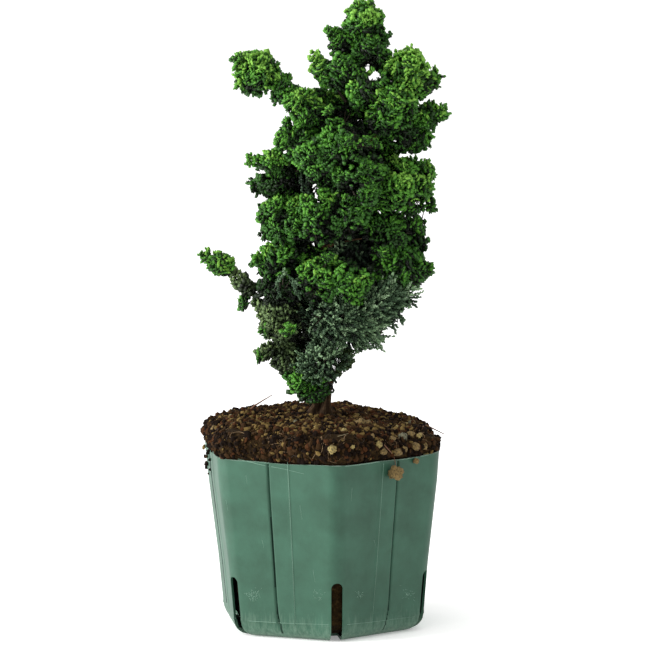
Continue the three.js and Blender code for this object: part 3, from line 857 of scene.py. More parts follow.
# by kind: columns and rows through which each piece runs, half its width in mm, how proud of the soil it lies
litter = {
    "stalks": [
        ([(318, 409), (316, 420), (312, 431)], 0.4, 0.5), ([(304, 417), (306, 424), (309, 431)], 0.3, 0.4),
        ([(322, 422), (318, 426), (315, 431)], 0.3, 0.5), ([(354, 413), (350, 420), (352, 426)], 0.25, 0.4),
        ([(247, 413), (254, 406), (262, 401), (272, 395)], 0.55, 0.4), ([(249, 412), (256, 404)], 0.6, 0.5),
        ([(418, 430), (428, 426), (444, 434)], 0.55, 0.9),
        ([(384, 446), (391, 452), (394, 457), (395, 466)], 0.35, 0.6),
        ([(372, 418), (380, 424), (388, 422)], 0.25, 0.4),
    ],
    "straws": [
        ([(228, 425), (242, 421), (251, 424)], 0.22, 0.4), ([(338, 437), (352, 433), (361, 438)], 0.22, 0.4),
        ([(270, 436), (281, 441), (290, 439)], 0.2, 0.4), ([(296, 428), (301, 421), (305, 426)], 0.2, 0.5),
    ],
}
litterColours = {"stalks": "#6e4c38", "straws": "#6d6248"}


def layLitter():
    for kind, pieces in litter.items():
        material, _, _ = newMaterial("dry " + kind, litterColours[kind], 0.8)
        lines = [lyingLine(places, proud) for places, _, proud in pieces]
        mesh = tubeMesh(kind, lines, [radius for _, radius, _ in pieces])
        keepPiece(newObject(kind, mesh, [material]))


layLitter()


# A painted highlight along the rounded lip of the cut rim: a pale tube in three lines that meet
def rimHighlightLines():
    highlightLine = []
    for side in range(6):
        for share in np.linspace(0, 1, marks["rimHighlightPoints"] + 1)[:-1]:
            point = hexagonPoint(side, share, pot["rimFlat"])
            height = pot["height"] + rimHeight(point + Vector((0, 0, pot["height"])))
            highlightLine.append((point + Vector((0, 0, height))) * marks["rimHighlightInset"])
    highlightLine.append(highlightLine[0])
    third = len(highlightLine) // 3
    return [highlightLine[start:start + third + 1] for start in (0, third, 2 * third)]


# Scratches in the plastic, whitened and slightly raised, a pale tube along the rim's lip that is a painted
# highlight, and a dark tube down a groove at the back that is painted shade
def scratchPot():
    random = np.random.default_rng(marks["seed"])
    lines = list(scratches)
    for column, row, halfWidth, halfHeight, count in scuffs:
        for _ in range(count):
            x, y = random.normal(size=2) * marks["scuffSpread"]
            angle, half = random.uniform(0, math.pi), random.uniform(*marks["scuffLengths"])
            across, up = half * math.cos(angle), half * math.sin(angle)
            x, y = column + x * halfWidth, row + y * halfHeight
            lines.append(([(x - across, y - up), (x + across, y + up)], random.uniform(*marks["scuffRadii"])))
    lying = [(lyingLine(places, marks["proud"]), radius) for places, radius in lines]
    lying = [(line, radius) for line, radius in lying if len(line) > 1]
    # and the painted highlight along the rim's lip
    lying += [(line, marks["rimHighlightRadius"]) for line in rimHighlightLines()]
    # the dark tube down a groove is painted shade
    paintedShadeLine = []
    for height in np.linspace(pot["height"] - 1, marks["shadeLineFoot"], marks["shadeLinePoints"]):
        flat = potFlatAt(height) + marks["shadeLineOut"]
        paintedShadeLine.append(hexagonPoint(marks["shadeLineSide"], 1 - pot["grooveShare"], flat) + Vector((0, 0, height)))
    keepPiece(newObject("paintedShadeLine", tubeMesh("paintedShadeLine", [paintedShadeLine], [marks["shadeLineRadius"]]), [paintedGrooveShadeMaterial()]))
    # one piece holds the whitened scratches and the painted rim highlight
    mesh = tubeMesh("scratches", [line for line, _ in lying], [radius for _, radius in lying])
    material, _, _ = newMaterial("scratched polypropylene and painted rim highlight", marks["pale"], 0.6)
    keepPiece(newObject("scratches", mesh, [material]))


scratchPot()
print("root ball is in place")

limbShapes = {
    "trunk": {
        "through": [(-0.8, 0, 111.3), (1.8, -0.5, 122), (3.8, 0, 133), (2, 1.5, 153), (-1.5, 2, 176),
                    (2, 2, 203), (9, 2, 238), (14, 3, 272), (23.5, 2, 310)],
        "radius": 5.6, "tipRadius": 0.7, "flare": 3, "flareHeight": 4, "flareRoots": 5, "flareDepth": 0.35,
        "sides": 40, "step": 0.9, "sunk": 3,
    },
    "bough": {"radius": 1.5, "tipRadius": 0.85, "sides": 14, "step": 0.9},
    "taperPower": 0.8,
    "pathSteps": 400,  # of the finely divided path on which the foliage's twigs are placed
    "fissures": ((1.5, 0.55), (0.7, 0.25)),  # width and depth of the cracks in the bark
    "fissureStretch": 5,  # they run along the limb
    "fullFissures": 4,  # radius from which they are as deep as said
    "dark": "#1a120b",
    "mid": "#4a3826",
    "light": "#80684c",
    "darkFoot": "#1e1309",  # the bark is darker towards the foot of the trunk
    "darkFootHeights": (127, 112),  # from where it starts to where it is full
}
# share of the trunk's length at which each one starts, and the points that it runs through
boughs = {
    "left_high": (0.732, [(2, 1, 265.5), (-7.5, 1, 273.5), (-25, 1, 287)]),
    "right_leader": (0.645, [(23, -2, 252), (34, -3, 263), (39, -3, 274)]),
    "right_high": (0.695, [(28.5, 4, 256.5), (44, 2, 263.5)]),
    "left_arm": (0.622, [(0, -1, 240.5), (-10.5, -2, 244)]),
    "right_arm": (0.57, [(23, -2, 228.5), (35.5, -3, 232.5)]),
    "right_mid": (0.445, [(17.5, 3, 203.5), (36.5, 2, 206.5)]),
    "left_low": (0.265, [(-15.5, 2, 167), (-29, 0, 171), (-37.5, 0, 177), (-42.5, 0, 187)]),
    "right_low": (0.312, [(16, -2, 180), (36, -3, 188.5)]),
    "right_fan": (0.165, [(9, -4, 155), (17.5, -6.5, 163.5)]),
}


# Evenly spaced points on the centripetal Catmull-Rom curve through the given ones, and its length
def smoothPath(through, count, finePerStretch=40):
    points = [Vector(point) for point in through]
    points = [2 * points[0] - points[1]] + points + [2 * points[-1] - points[-2]]
    fine = []
    for p0, p1, p2, p3 in zip(points, points[1:], points[2:], points[3:]):
        t0, t1, t2 = [math.sqrt((b - a).length) for a, b in ((p0, p1), (p1, p2), (p2, p3))]
        out = ((p1 - p0) / t0 - (p2 - p0) / (t0 + t1) + (p2 - p1) / t1) * t1
        into = ((p2 - p1) / t1 - (p3 - p1) / (t1 + t2) + (p3 - p2) / t2) * t1
        for i in range(finePerStretch):
            s = i / finePerStretch
            fine.append(p1 * (2 * s ** 3 - 3 * s ** 2 + 1) + p2 * (3 * s ** 2 - 2 * s ** 3)
                        + out * (s ** 3 - 2 * s ** 2 + s) + into * (s ** 3 - s ** 2))
    fine = np.array(fine + [points[-2]])
    along = np.concatenate([[0], np.cumsum(np.linalg.norm(np.diff(fine, axis=0), axis=1))])
    even = np.linspace(0, along[-1], count)
    return [Vector([np.interp(at, along, fine[:, k]) for k in range(3)]) for at in even], along[-1]


def limbRadius(shape, share, length, angle=0):
    radius = shape["radius"] + (shape["tipRadius"] - shape["radius"]) * share ** limbShapes["taperPower"]
    if "flare" in shape:
        roots = 1 + shape["flareDepth"] * math.cos(shape["flareRoots"] * angle)
        radius += shape["flare"] * math.exp(-share * length / shape["flareHeight"]) * roots
    return radius


# A tapering limb: a circle carried along its path, with the cracks of the bark pressed into it
def growLimb(bm, shape, through):
    _, length = smoothPath(through, 2)
    count = round(length / shape["step"])
    path, _ = smoothPath(through, count + 1)
    path[0] = path[0] - Vector((0, 0, shape.get("sunk", 0)))
    verts = bmesh.ops.create_circle(bm, cap_ends=True, segments=shape["sides"], radius=1)["verts"]
    edges = list({edge for vert in verts for edge in vert.link_edges})
    seat = Matrix.Identity(4)
    for i, point in enumerate(path):
        share = i / count
        tangent = (path[min(i + 1, count)] - path[max(i - 1, 0)]).normalized()
        turn = Vector((0, 0, 1)).rotation_difference(tangent).to_matrix().to_4x4()
        radius = limbRadius(shape, share, length)
        newSeat = Matrix.Translation(point) @ turn @ Matrix.Diagonal((radius, radius, radius, 1))
        if i:
            made = bmesh.ops.extrude_edge_only(bm, edges=edges)["geom"]
            verts = [item for item in made if isinstance(item, bmesh.types.BMVert)]
            edges = [item for item in made if isinstance(item, bmesh.types.BMEdge)]
        bmesh.ops.transform(bm, matrix=newSeat @ seat.inverted(), verts=verts)
        seat = newSeat
        for vert in verts:
            out = vert.co - point
            angle = math.atan2(out.y, out.x)
            around = limbRadius(shape, share, length, angle) / radius
            sample = Vector((vert.co.x, vert.co.y, vert.co.z / limbShapes["fissureStretch"]))
            cracks = sum(depth * abs(noise.noise(sample / width)) for width, depth in limbShapes["fissures"])
            deep = min(1, radius / limbShapes["fullFissures"])
            vert.co = point + out * (around - cracks * deep / radius)
    bmesh.ops.contextual_create(bm, geom=edges)


# Cypress bark: thin, fibrous and grey-brown, paler where a strip has lifted
def barkMaterial():
    material, tree, shader = newMaterial("fibrous bark", limbShapes["mid"], 0.95, Specular_IOR_Level=0.15)
    place = addNode(tree, "TexCoord").outputs["Object"]
    along = addNode(tree, "Mapping", {"Scale": (1, 1, 1 / limbShapes["fissureStretch"])}, {"Vector": place})
    strips = addNoise(tree, along.outputs[0], 1.4, 7, Roughness=0.65)
    stops = {0.32: limbShapes["dark"], 0.52: limbShapes["mid"], 0.72: limbShapes["light"]}
    tone = addNode(tree, "ValToRGB", {"stops": stops}, {0: strips})
    height = addNode(tree, "SeparateXYZ", links={0: place}).outputs["Z"]
    # darker towards the foot of the trunk
    start, full = limbShapes["darkFootHeights"]
    darkFoot = addRange(tree, height, start * mm, full * mm, high=0.8)
    darkened = layColour(tree, darkFoot, tone.outputs[0], limbShapes["darkFoot"])
    tree.links.new(darkened, shader.inputs["Base Color"])
    addBump(tree, shader, strips, 0.8, 0.5)
    return material


limbs = {}  # name: the points of its path, its radius at each, the points that it runs through, and its shape


def addLimb(name, shape, through):
    steps = limbShapes["pathSteps"]
    path, length = smoothPath(through, steps + 1)
    limbs[name] = path, [limbRadius(shape, i / steps, length) for i in range(steps + 1)], through, shape


def pointOnLimb(name, share):
    return limbs[name][0][round(share * limbShapes["pathSteps"])]


addLimb("trunk", limbShapes["trunk"], limbShapes["trunk"]["through"])
for name, (share, through) in boughs.items():
    addLimb(name, limbShapes["bough"], [pointOnLimb("trunk", share)] + through)


def makeBark():
    bm = bmesh.new()
    for _, _, through, shape in limbs.values():
        growLimb(bm, shape, through)
    bmesh.ops.recalc_face_normals(bm, faces=bm.faces)
    bmesh.ops.scale(bm, vec=(mm, mm, mm), verts=bm.verts)
    return newObject("bark", meshFromBmesh("bark", bm), [barkMaterial()])


keepPiece(makeBark(), ["trunk"] + ["bough_" + name for name in boughs])
print("trunk and boughs are grown")

# One mass a row: what carries it and where, its furthest tip, half width and length, and how much lighter it
# is than its colours are, partly its own tone and partly painted light and shade for where it lies in the
# crown.
# Then its colours and its kind of spray, where it isn't a green fan
masses = [
    ("crown_top", "trunk", 1, (26.2, 1, 330.6), 10.6, 29, 0.4),
    ("top_left", "trunk", 0.938, (5, -2, 316), 5.5, 24, -0.2),
    ("top_right", "trunk", 0.903, (37, -2, 314.5), 11.3, 31, -0.7),
    ("top_back", "trunk", 0.875, (23.5, 19, 304), 12, 28, 0),
    ("upper_left_tip", "trunk", 0.827, (-2.5, -6.5, 303.5), 6.2, 27, 1),
    ("upper_left", "trunk", 0.86, (12, -12.5, 301), 10.5, 24, -0.7),
    ("upper_front", "trunk", 0.807, (33, -15, 292.5), 11.5, 27, 0),
    ("right_top", "right_leader", 1, (51.3, -5.5, 305), 12.2, 30, 1.3),
    ("right_top_back", "right_leader", 0.93, (66, 3.5, 293), 5.8, 31, 0.5),
    ("right_shoulder", "right_leader", 0.68, (42, -17, 286), 13.5, 31, 0),
    ("right_high_arm", "right_high", 1, (68.7, 0, 272.5), 7.8, 28, 0.3, "green", "sprig"),
    ("right_high", "right_high", 0.86, (59.6, -1, 254.5), 11.6, 32, 0.1),
    ("left_high_arm", "left_high", 0.35, (-28.5, 1, 291.8), 8.6, 41, -0.4, "green", "sprig"),
    ("left_high_tuft", "left_high", 1, (-42, -1, 301), 13.1, 27, 0.6),
    ("left_shoulder", "trunk", 0.759, (-17, -11.5, 279.5), 10.4, 32, 0.3),
    ("left_upper", "trunk", 0.693, (-22, -10.5, 260.5), 11.3, 34, 0.1),
    ("left_arm_tip", "left_arm", 1, (-39, -3, 246.5), 7.2, 37, 0.2, "green", "sprig"),
    ("left_arm_low", "left_arm", 0.8, (-37, 2, 231.5), 8.6, 31, -0.8),
    ("centre_left", "trunk", 0.653, (-5.5, -26, 254.5), 15.5, 36, -0.3),
    ("centre_front", "trunk", 0.68, (14.5, -29.5, 260), 14.5, 34, -0.3),
    ("centre_right", "trunk", 0.597, (31, -25, 242.5), 15.5, 35, -0.3),
    ("right_arm", "right_arm", 1, (61, -4, 234.5), 17.2, 35, 0.4),
    ("left_mid", "trunk", 0.486, (-31.9, -6.5, 220), 16.7, 36, -0.2),
    ("left_mid_front", "trunk", 0.519, (-3.5, -26, 221.5), 15, 34, -0.2),
    ("centre_mid", "trunk", 0.539, (19.5, -26, 220), 14.5, 33, -0.5),
    ("right_mid", "right_mid", 1, (57.3, 0, 201.5), 15.6, 39, -0.8),
    ("left_low", "trunk", 0.405, (-36, -8.5, 195), 11.8, 37, 0.1),
    ("front_low_left", "trunk", 0.332, (1.5, -27.5, 188.5), 13, 30, 0.3),
    ("front_low_right", "trunk", 0.357, (24.5, -23, 184.5), 13.3, 31, 0.3),
    ("right_low", "right_low", 1, (59.5, -4, 190), 13.2, 38, -0.2),
    ("right_fan_high", "right_fan", 1, (52, -8.5, 181), 9.8, 40, 0.9, "blue", "cord"),
    ("right_fan_low", "right_fan", 0.8, (34.5, -9.5, 154.5), 10, 32, 1, "blue", "cord"),
    ("centre_fan", "trunk", 0.251, (13, -23, 172), 15, 34, 1, "blue", "cord"),
    ("front_foot", "trunk", 0.122, (-1, -18.5, 153), 14.5, 32, 0.1, "blue", "cord"),
    ("left_low_arm", "left_low", 0.68, (-46.8, 0, 189.5), 5.6, 27, -0.2, "olive", "sprig"),
    ("left_low_tuft", "left_low", 1, (-63, -1, 198.5), 5.8, 27, 0.5),
    ("left_lower", "trunk", 0.238, (-35, -7.5, 168), 15, 41, -0.7, "olive", "fan"),
    ("left_hang", "trunk", 0.3, (-32, -10, 181), 11.5, 30, -2.2),
    ("left_foot", "trunk", 0.105, (-34, -5, 149), 8, 40, -0.7, "olive", "fan"),
    ("foot_tuft", "trunk", 0.059, (-17.3, -10, 135.5), 9.5, 27, -0.3),
    ("right_foot", "trunk", 0.079, (17, -1, 148), 4.4, 22, -0.5, "olive", "sprig"),
    ("back_high", "trunk", 0.776, (2.5, 26, 273), 16, 36, 0.1),
    ("back_right_high", "trunk", 0.715, (42, 24, 252.5), 16.5, 38, 0.2),
    ("back_left", "trunk", 0.627, (-20, 25, 234.5), 17, 38, 0),
    ("back_right", "trunk", 0.553, (35, 26.5, 228.5), 17, 38, 0.2),
    ("back_low_left", "trunk", 0.435, (-23.5, 24.5, 194.5), 17, 38, 0),
    ("back_low_right", "trunk", 0.367, (27.5, 25, 196), 18, 40, 0.1, "blue", "fan"),
    ("back_foot", "trunk", 0.248, (-7, 25, 165.5), 17, 36, -0.3),
]
growth = {
    "widest": 0.58,  # share of a mass's length between its stem end and its widest place
    "coreShare": 0.85,  # reach of a mass's core, as a share of the mass's own
    "coreDraws": 18,  # random numbers that the solid's core takes first
    "mainSpacing": 14.1,  # between main twigs over a mass
    "seed": 20177,
    "seedStep": 977,
    "wallGap": 0.18,  # that a mass keeps from the wall between it and its neighbour
    "clearance": 0.3,  # masses that are further apart than this have no wall
    "knot": 0.85,  # share of the core's reach at which a main twig ends
    "fork": 0.5,  # how far behind its end it leaves the stem, in the mass's half widths
    "stemShort": 0.3,  # share of the mass's length by which the stem ends before its tip
    # shells of tufts from the outside in: spacing, how far they reach as shares of the mass's own,
    # lift of the colour, size of a tuft. The inner shell's lower lift is painted shade inside the crown
    "shells": [(9, (0.86, 1.06), 2.6, 1), (13, (0.5, 0.72), 0.7, 1.25)],
    "tuftSizes": (0.85, 0.35),  # least, and how much more by chance
    "tuftFork": 0.7,  # how far along a main twig a tuft's own twig starts
    "tuftTone": 1.2,  # how much tufts differ in tone
    "leaders": (1.05, 1.8),  # how far behind the mass's tip the tufts at its end start, in their own reach
    "bare": 0.08,  # share of the tufts that are missing
    "sunlit": 0.4,  # how much lighter tufts are that grow upwards
    "spraySunlit": 0.5,  # and the sprays in them
    "gather": 0.3,  # how strongly tufts are drawn to the nearest main twig
    "lift": 0.1,  # of a tuft towards the sky
    "leastRoom": 0.42,  # a tuft that has less of its reach before its wall is left out
    "lumps": (0.78, 1.08),  # how far one main twig's tufts reach, against its neighbours'
    "furthest": 1.03,  # of a spray's tip, as a share of the mass's reach
    "mingle": 3.5,  # how far sprays reach in among the neighbouring mass's
    "hollowShade": 2.6,  # how much darker the leaves are that line a hollow
    "sprayTurn": 0.5,  # by chance round the tuft's axis, as a share of the angle between two sprays
    "sprayTilt": (0.75, 0.5),  # of its ring's, at least, and how much more by chance
    "sprayLength": (0.85, 0.3),  # the same
    "sprayRoll": 1.2,  # radians by chance
    "leastInside": 0.6,  # a spray of which less than this would lie in its mass is left out
    "unevenTone": 0.3,  # how much the lobes of a spray differ by chance
    "shootLevel": 1.8,  # tone of a lone shoot before its own lift
    "shootFork": 0.7,  # furthest share of the mass's length at which its twig leaves the stem
    "twigRadii": {"main": 0.6, "stem": 0.95, "tuft": 0.4, "shoot": 0.45, "rib": 0.22},
    "mostTriangles": 199000,  # in one piece
}
# A tuft is a few rings of sprays that open round its axis: how many, how far up the axis they start,
# degrees between them and the axis, and their length as a share of the tuft's reach. Contrast is how much
# lighter the tips are than the rest of a spray, partly young growth and partly painted shade on the lobes
# nearer the root, and how much the sprays differ
sprayKinds = {
    "fan": {
        "reach": 6.6, "lean": 0.5, "contrast": (1, 0.8), "rings": [(5, 0, 50, 1), (2, 0.5, 50, 0.7)],
        "length": 6.6, "branches": 4, "share": 0.5, "angle": 50, "turn": 180, "lobes": 2, "lobe": (2.9, 2.7),
        "fork": 34,
    },
    "sprig": {
        "reach": 6, "lean": 0.3, "contrast": (1, 0.8), "rings": [(5, 0, 42, 1), (3, 0.45, 65, 0.6)],
        "length": 6, "branches": 7, "share": 0.22, "angle": 62, "turn": 137.5, "lobes": 1, "lobe": (2.4, 1.9),
        "fork": 0,
    },
    "cord": {
        "reach": 12, "lean": 1.7, "contrast": (0.5, 2.4), "rings": [(5, 0, 32, 1)],
        "length": 12, "branches": 3, "share": 0.8, "angle": 26, "turn": 180, "lobes": 8, "lobe": (2.1, 1.2),
        "fork": 20,
    },
    "tail": {
        "reach": 11, "lean": 0, "contrast": (0.5, 1), "rings": [(1, 0, 6, 1)],
        "length": 11, "branches": 4, "share": 0.6, "angle": 14, "turn": 137.5, "lobes": 5, "lobe": (2.2, 1.5),
        "fork": 24,
    },
}
sprayShape = {
    "variants": 6,
    "cup": 0.35,  # how far a spray's sides bend up
    "lobeThickness": 1.1,
    "uneven": 0.2,
    "roll": 16,  # degrees that a lobe may roll either way
    "tipLift": 22,  # degrees that the outer lobes bend up
    "branchFrom": (0.12, 0.6),  # share of a spray's length below its side branches, and along them
    "branchRoll": 50,  # degrees by chance
    "branchAngle": (1.15, 0.45),  # share of its angle at the spray's foot, and how much less at its tip
    "branchShorter": 0.3,  # how much shorter they are at its tip
    "leader": (0.55, 0.45),  # share of the spray at which its last branch starts, and that branch's length
    "lobeRoots": (0.8, 0.4, 0.6),  # how far the last lobe, the first one and the rest keep from the ends
    "sideRanks": (-1.1, 1.2),  # how far out a branch's first lobe is, and how much more the others are
    "sideLobe": 0.9,  # size of a side lobe against the one at the branch's tip
    "ribEnds": (-0.8, 0.8, 0.6),  # the main rib's foot in mm and its share of the spray, and a branch's
    "leastRib": 1.5,  # a branch has a rib of its own if it is longer than this many lobes
    "seed": 41,
}
# Where the crown lies open: column, row, and half the width and height in the picture
skyGaps = [
    (367.5, 67, 4, 8), (374, 77.5, 8, 6.5), (286, 152, 3, 3.5), (315, 188, 4.5, 6.5), (316, 196, 3.5, 4),
    (318, 202, 5, 2.2), (408, 154.5, 5, 2.5), (401, 157, 4, 2.5), (262, 172.5, 6, 2.8), (268, 178.5, 7, 2.2),
    (289, 225, 3, 3.5), (313, 244, 4.5, 3.5), (395, 141, 6, 2.5), (412, 217, 2, 2), (417, 203, 4, 3),
    (342, 316, 3, 3.5), (301, 331, 3.5, 4), (338, 361, 3.5, 4.5), (334, 368, 3, 4), (338, 14, 9, 10),
    (325, 42, 6.5, 6), (328, 58, 6, 4), (400, 61, 4, 2.5), (445, 70, 8, 7), (440, 94, 11, 6),
    (429, 97, 5, 3.5), (444, 166, 9, 8), (286, 66, 7.5, 8), (229, 83, 7, 10), (270, 134, 7.5, 8),
    (243, 169, 8, 4), (244, 192, 7.5, 8), (253, 210, 7, 10), (434, 229, 9, 13), (428, 214, 6, 5),
    (438, 263, 6, 7), (429, 261, 5, 2.5), (436, 294, 14, 14), (416, 304, 7, 6), (414, 318, 16, 10),
    (392, 345, 10, 8), (368, 359, 12, 9), (270, 375, 11, 9), (254, 342, 9, 7), (252, 320, 8, 10.5),
    (253, 277, 4.5, 7), (226, 288, 8.5, 9), (236, 297, 5, 4), (222, 280, 9, 5), (254, 270.5, 5, 4.5),
    (345, 388, 12, 14), (340, 391, 7, 10),
]
# and where it is hollow, so that its dark inside shows
hollows = [
    (357, 254, 17, 22), (352, 232, 12, 9), (306, 300, 18, 20), (360, 128, 16, 8), (350, 165, 10, 6),
    (312, 240, 13, 9), (300, 250, 8, 6), (305, 186, 7, 9), (341, 113, 9, 5),
    (364, 152, 10, 7), (353, 189, 9, 8), (290, 182, 9, 6), (327, 222, 7, 5), (304, 340, 6, 9),
    (337, 207, 6, 10), (378, 158, 8, 5), (303, 318, 12, 12), (300, 287, 9, 11), (330, 233, 8, 5),
]
hollowDepth = -15  # mm in Y, up to which a hollow is empty
raggedness = {"skyGaps": 0.2, "hollows": 0.55}  # of their edges
# from the deepest painted shade to the youngest tip: the darkest tones stand for shade deep in the crown
leafColours = {
    "green": ["#060c04", "#0e1c08", "#1b3811", "#2d591a", "#477e25", "#72a53d"],
    "blue": ["#0b130b", "#19281a", "#2d442c", "#475f44", "#67835e", "#8aa57f"],
    "olive": ["#0e1409", "#1e2915", "#364627", "#4f633a", "#6d8350", "#8da26b"],
}
# Shoots that stand out alone: the mass whose main twig carries it, lift, size, Y in mm, and the column and
# row of its root and of its tip. Then its colours and its kind of spray, where it isn't a green fan
shoots = [
    ("left_low_arm", 0.8, 0.9, 0, (249, 303), (237, 303)),
    ("left_low_arm", -0.2, 0.9, 0, (262, 300), (250, 301), "olive", "sprig"),
    ("right_mid", 0.2, 0.9, 0, (425, 206), (436, 206)),
    ("right_mid", -0.3, 0.9, -4, (405, 209), (415, 214)),
    ("left_upper", 0.2, 0.9, -6, (292, 128), (281, 124)),
    ("right_arm", 0.2, 0.9, -4, (414, 168), (419, 158)),
    ("left_high_arm", -0.6, 0.8, 1, (293, 93), (298, 83), "green", "sprig"),
    ("left_high_arm", -0.4, 0.8, 1, (321, 98), (318, 89)),
    ("right_shoulder", -0.9, 0.9, -6, (388, 88), (389, 77)),
    ("left_low", 0.5, 0.7, -3, (258, 262), (247, 259)),
    ("left_mid", 0, 0.9, -4, (271, 232), (261, 230)),
    ("left_arm_low", 0, 0.7, 0, (262, 180), (250, 175), "green", "sprig"),
    ("right_top_back", 0.5, 0.7, 2, (432, 82), (443, 83)),
    ("left_high_tuft", 1, 1, -4, (244, 62), (233, 58)),
    ("left_high_tuft", 0.2, 0.8, -2, (268, 67), (276, 61)),
    ("left_lower", 0, 0.8, -2, (273, 334), (264, 333)),
    ("left_shoulder", 1.3, 0.7, -18, (333, 112), (325, 107)),
    ("right_mid", 1, 0.7, -14, (383, 256), (383, 246)),
    ("centre_front", 0.5, 0.7, -29, (352, 144), (344, 137)),
    ("centre_front", 0.5, 0.7, -27, (364, 145), (369, 138)),
    ("centre_front", 0.6, 0.7, -25, (374, 147), (379, 140)),
    ("front_low_left", 0.6, 0.8, -19, (326, 263), (331, 254)),
    ("foot_tuft", 0.2, 0.7, -15, (312, 394), (314, 405)),
    ("foot_tuft", 0, 0.7, -14, (319, 390), (320, 401)),
    ("left_lower", 0.9, 0.9, -22, (290, 336), (288, 329)),
    ("left_lower", 0.7, 0.8, -12, (270, 331), (263, 327)),
    ("left_foot", 0.8, 0.8, -6, (266, 356), (258, 354)),
    ("left_foot", -1.4, 0.9, 8, (306, 353), (302, 345)),
    ("right_low", -1.4, 0.9, 6, (378, 291), (378, 281)),
    ("centre_mid", -2, 1, 6, (356, 241), (355, 231)),
    ("right_fan_high", -1.2, 0.9, 4, (362, 313), (362, 303), "blue", "fan"),
    ("right_fan_low", 1, 1, -10, (388, 305), (404, 326), "blue", "tail"),
    ("right_fan_low", 1.2, 1, -11, (381, 311), (395, 332), "blue", "tail"),
    ("right_fan_high", 0.8, 1, -9, (394, 296), (414, 305), "blue", "tail"),
    ("left_hang", 0.8, 0.9, -22, (274, 289), (283, 272), "blue", "tail"),
    ("left_hang", 1, 0.9, -23, (284, 272), (303, 288), "blue", "tail"),
    ("left_hang", 0.8, 0.8, -23, (290, 281), (299, 298), "blue", "tail"),
    ("left_hang", 0.2, 0.9, -21, (279, 280), (277, 301), "blue", "tail"),
    ("left_arm_low", 0.4, 0.8, -16, (301, 172), (303, 190), "blue", "tail"),
    ("left_arm_low", 0.6, 0.8, -16, (306, 177), (309, 196), "blue", "tail"),
]


# Numbers from 0 to 1 from a seed, always the same
def makeRandom(start):
    state = [start]

    def draw():
        state[0] = state[0] * 48271 % 2147483647
        return state[0] / 2147483647
    return draw


# A mass is egg-shaped: widest before its middle, blunt at its tip
def makeEgg(number, row):
    name, carrier, share, tip, half, length, lift, *looks = row
    colours, kind = looks or ("green", "fan")
    foot = pointOnLimb(carrier, share)
    tip = Vector(tip)
    axis = (tip - foot).normalized()
    centre = tip - axis * length * (1 - growth["widest"])
    fronts = length * growth["widest"], length * (1 - growth["widest"])
    return {
        "number": number, "name": name, "foot": foot, "tip": tip, "axis": axis, "centre": centre,
        "half": half, "length": length, "fronts": fronts, "walls": [], "furthest": growth["furthest"],
        "colours": colours, "lift": lift, "kind": kind,
    }


# Half the gradient of the squared egg measure, which is 1 on the egg's surface
def eggSlope(egg, point):
    away = point - egg["centre"]
    along = away.dot(egg["axis"])
    reach = egg["fronts"][1 if along > 0 else 0]
    return (away - egg["axis"] * along) / egg["half"] ** 2 + egg["axis"] * along / reach ** 2


def eggRadius(egg, direction):
    return 1 / math.sqrt(eggSlope(egg, egg["centre"] + direction).dot(direction))


# Neighbours share their room by a flat wall where both eggs measure the same
def buildWalls(eggs):
    for egg in eggs:
        for other in eggs:
            apart = other["centre"] - egg["centre"]
            distance = apart.length
            reach = max(egg["half"], *egg["fronts"]) + max(other["half"], *other["fronts"])
            if egg is other or distance > reach + growth["clearance"]:
                continue
            apart /= distance
            mine, theirs = eggRadius(egg, apart), eggRadius(other, -apart)
            meeting = egg["centre"] + apart * distance * mine / (mine + theirs)
            normal = (eggSlope(egg, meeting) - eggSlope(other, meeting)).normalized()
            egg["walls"].append((normal, normal.dot(meeting) - growth["wallGap"]))


# How far a ray from the egg's centre may run before it meets a wall
def roomAlong(egg, direction):
    room = math.inf
    for normal, offset in egg["walls"]:
        slope = normal.dot(direction)
        if slope > 0:
            room = min(room, (offset - normal.dot(egg["centre"])) / slope)
    return room


# Even directions round a mass by the golden angle
def evenDirections(egg, spacing, random):
    area = 4 * math.pi * egg["half"] * (egg["half"] + egg["length"]) / 3
    count = round(area / spacing ** 2)
    for i in range(count):
        height = 1 - (2 * i + 1) / count
        turn = (i + random()) * math.pi * (1 + math.sqrt(5))
        around = math.sqrt(1 - height ** 2)
        yield Vector((around * math.cos(turn), around * math.sin(turn), height))


# The 3 x 4 matrix with these columns
def fromColumns(columns):
    return np.column_stack([np.array(column) for column in columns])


# A leaf lobe: a flat scale with a raised middle, narrow at its root and blunt at its tip. It is drawn from a
# five-sided cone of which one corner, turned to -Y, is the root
def lobeShape():
    bm = bmesh.new()
    bmesh.ops.create_cone(bm, cap_ends=True, segments=5, radius1=0.5, radius2=0, depth=1)
    bmesh.ops.rotate(bm, verts=bm.verts, matrix=Matrix.Rotation(math.radians(-36), 3, "Z"))
    for vert in bm.verts:
        along = (vert.co.y + 0.5) / 0.905
        vert.co.x *= 0.8 + 0.45 * along
        vert.co.y = along if vert.co.z < 0 else 0.62
        vert.co.z = 0 if vert.co.z < 0 else 1
    return shapeArrays(bm)


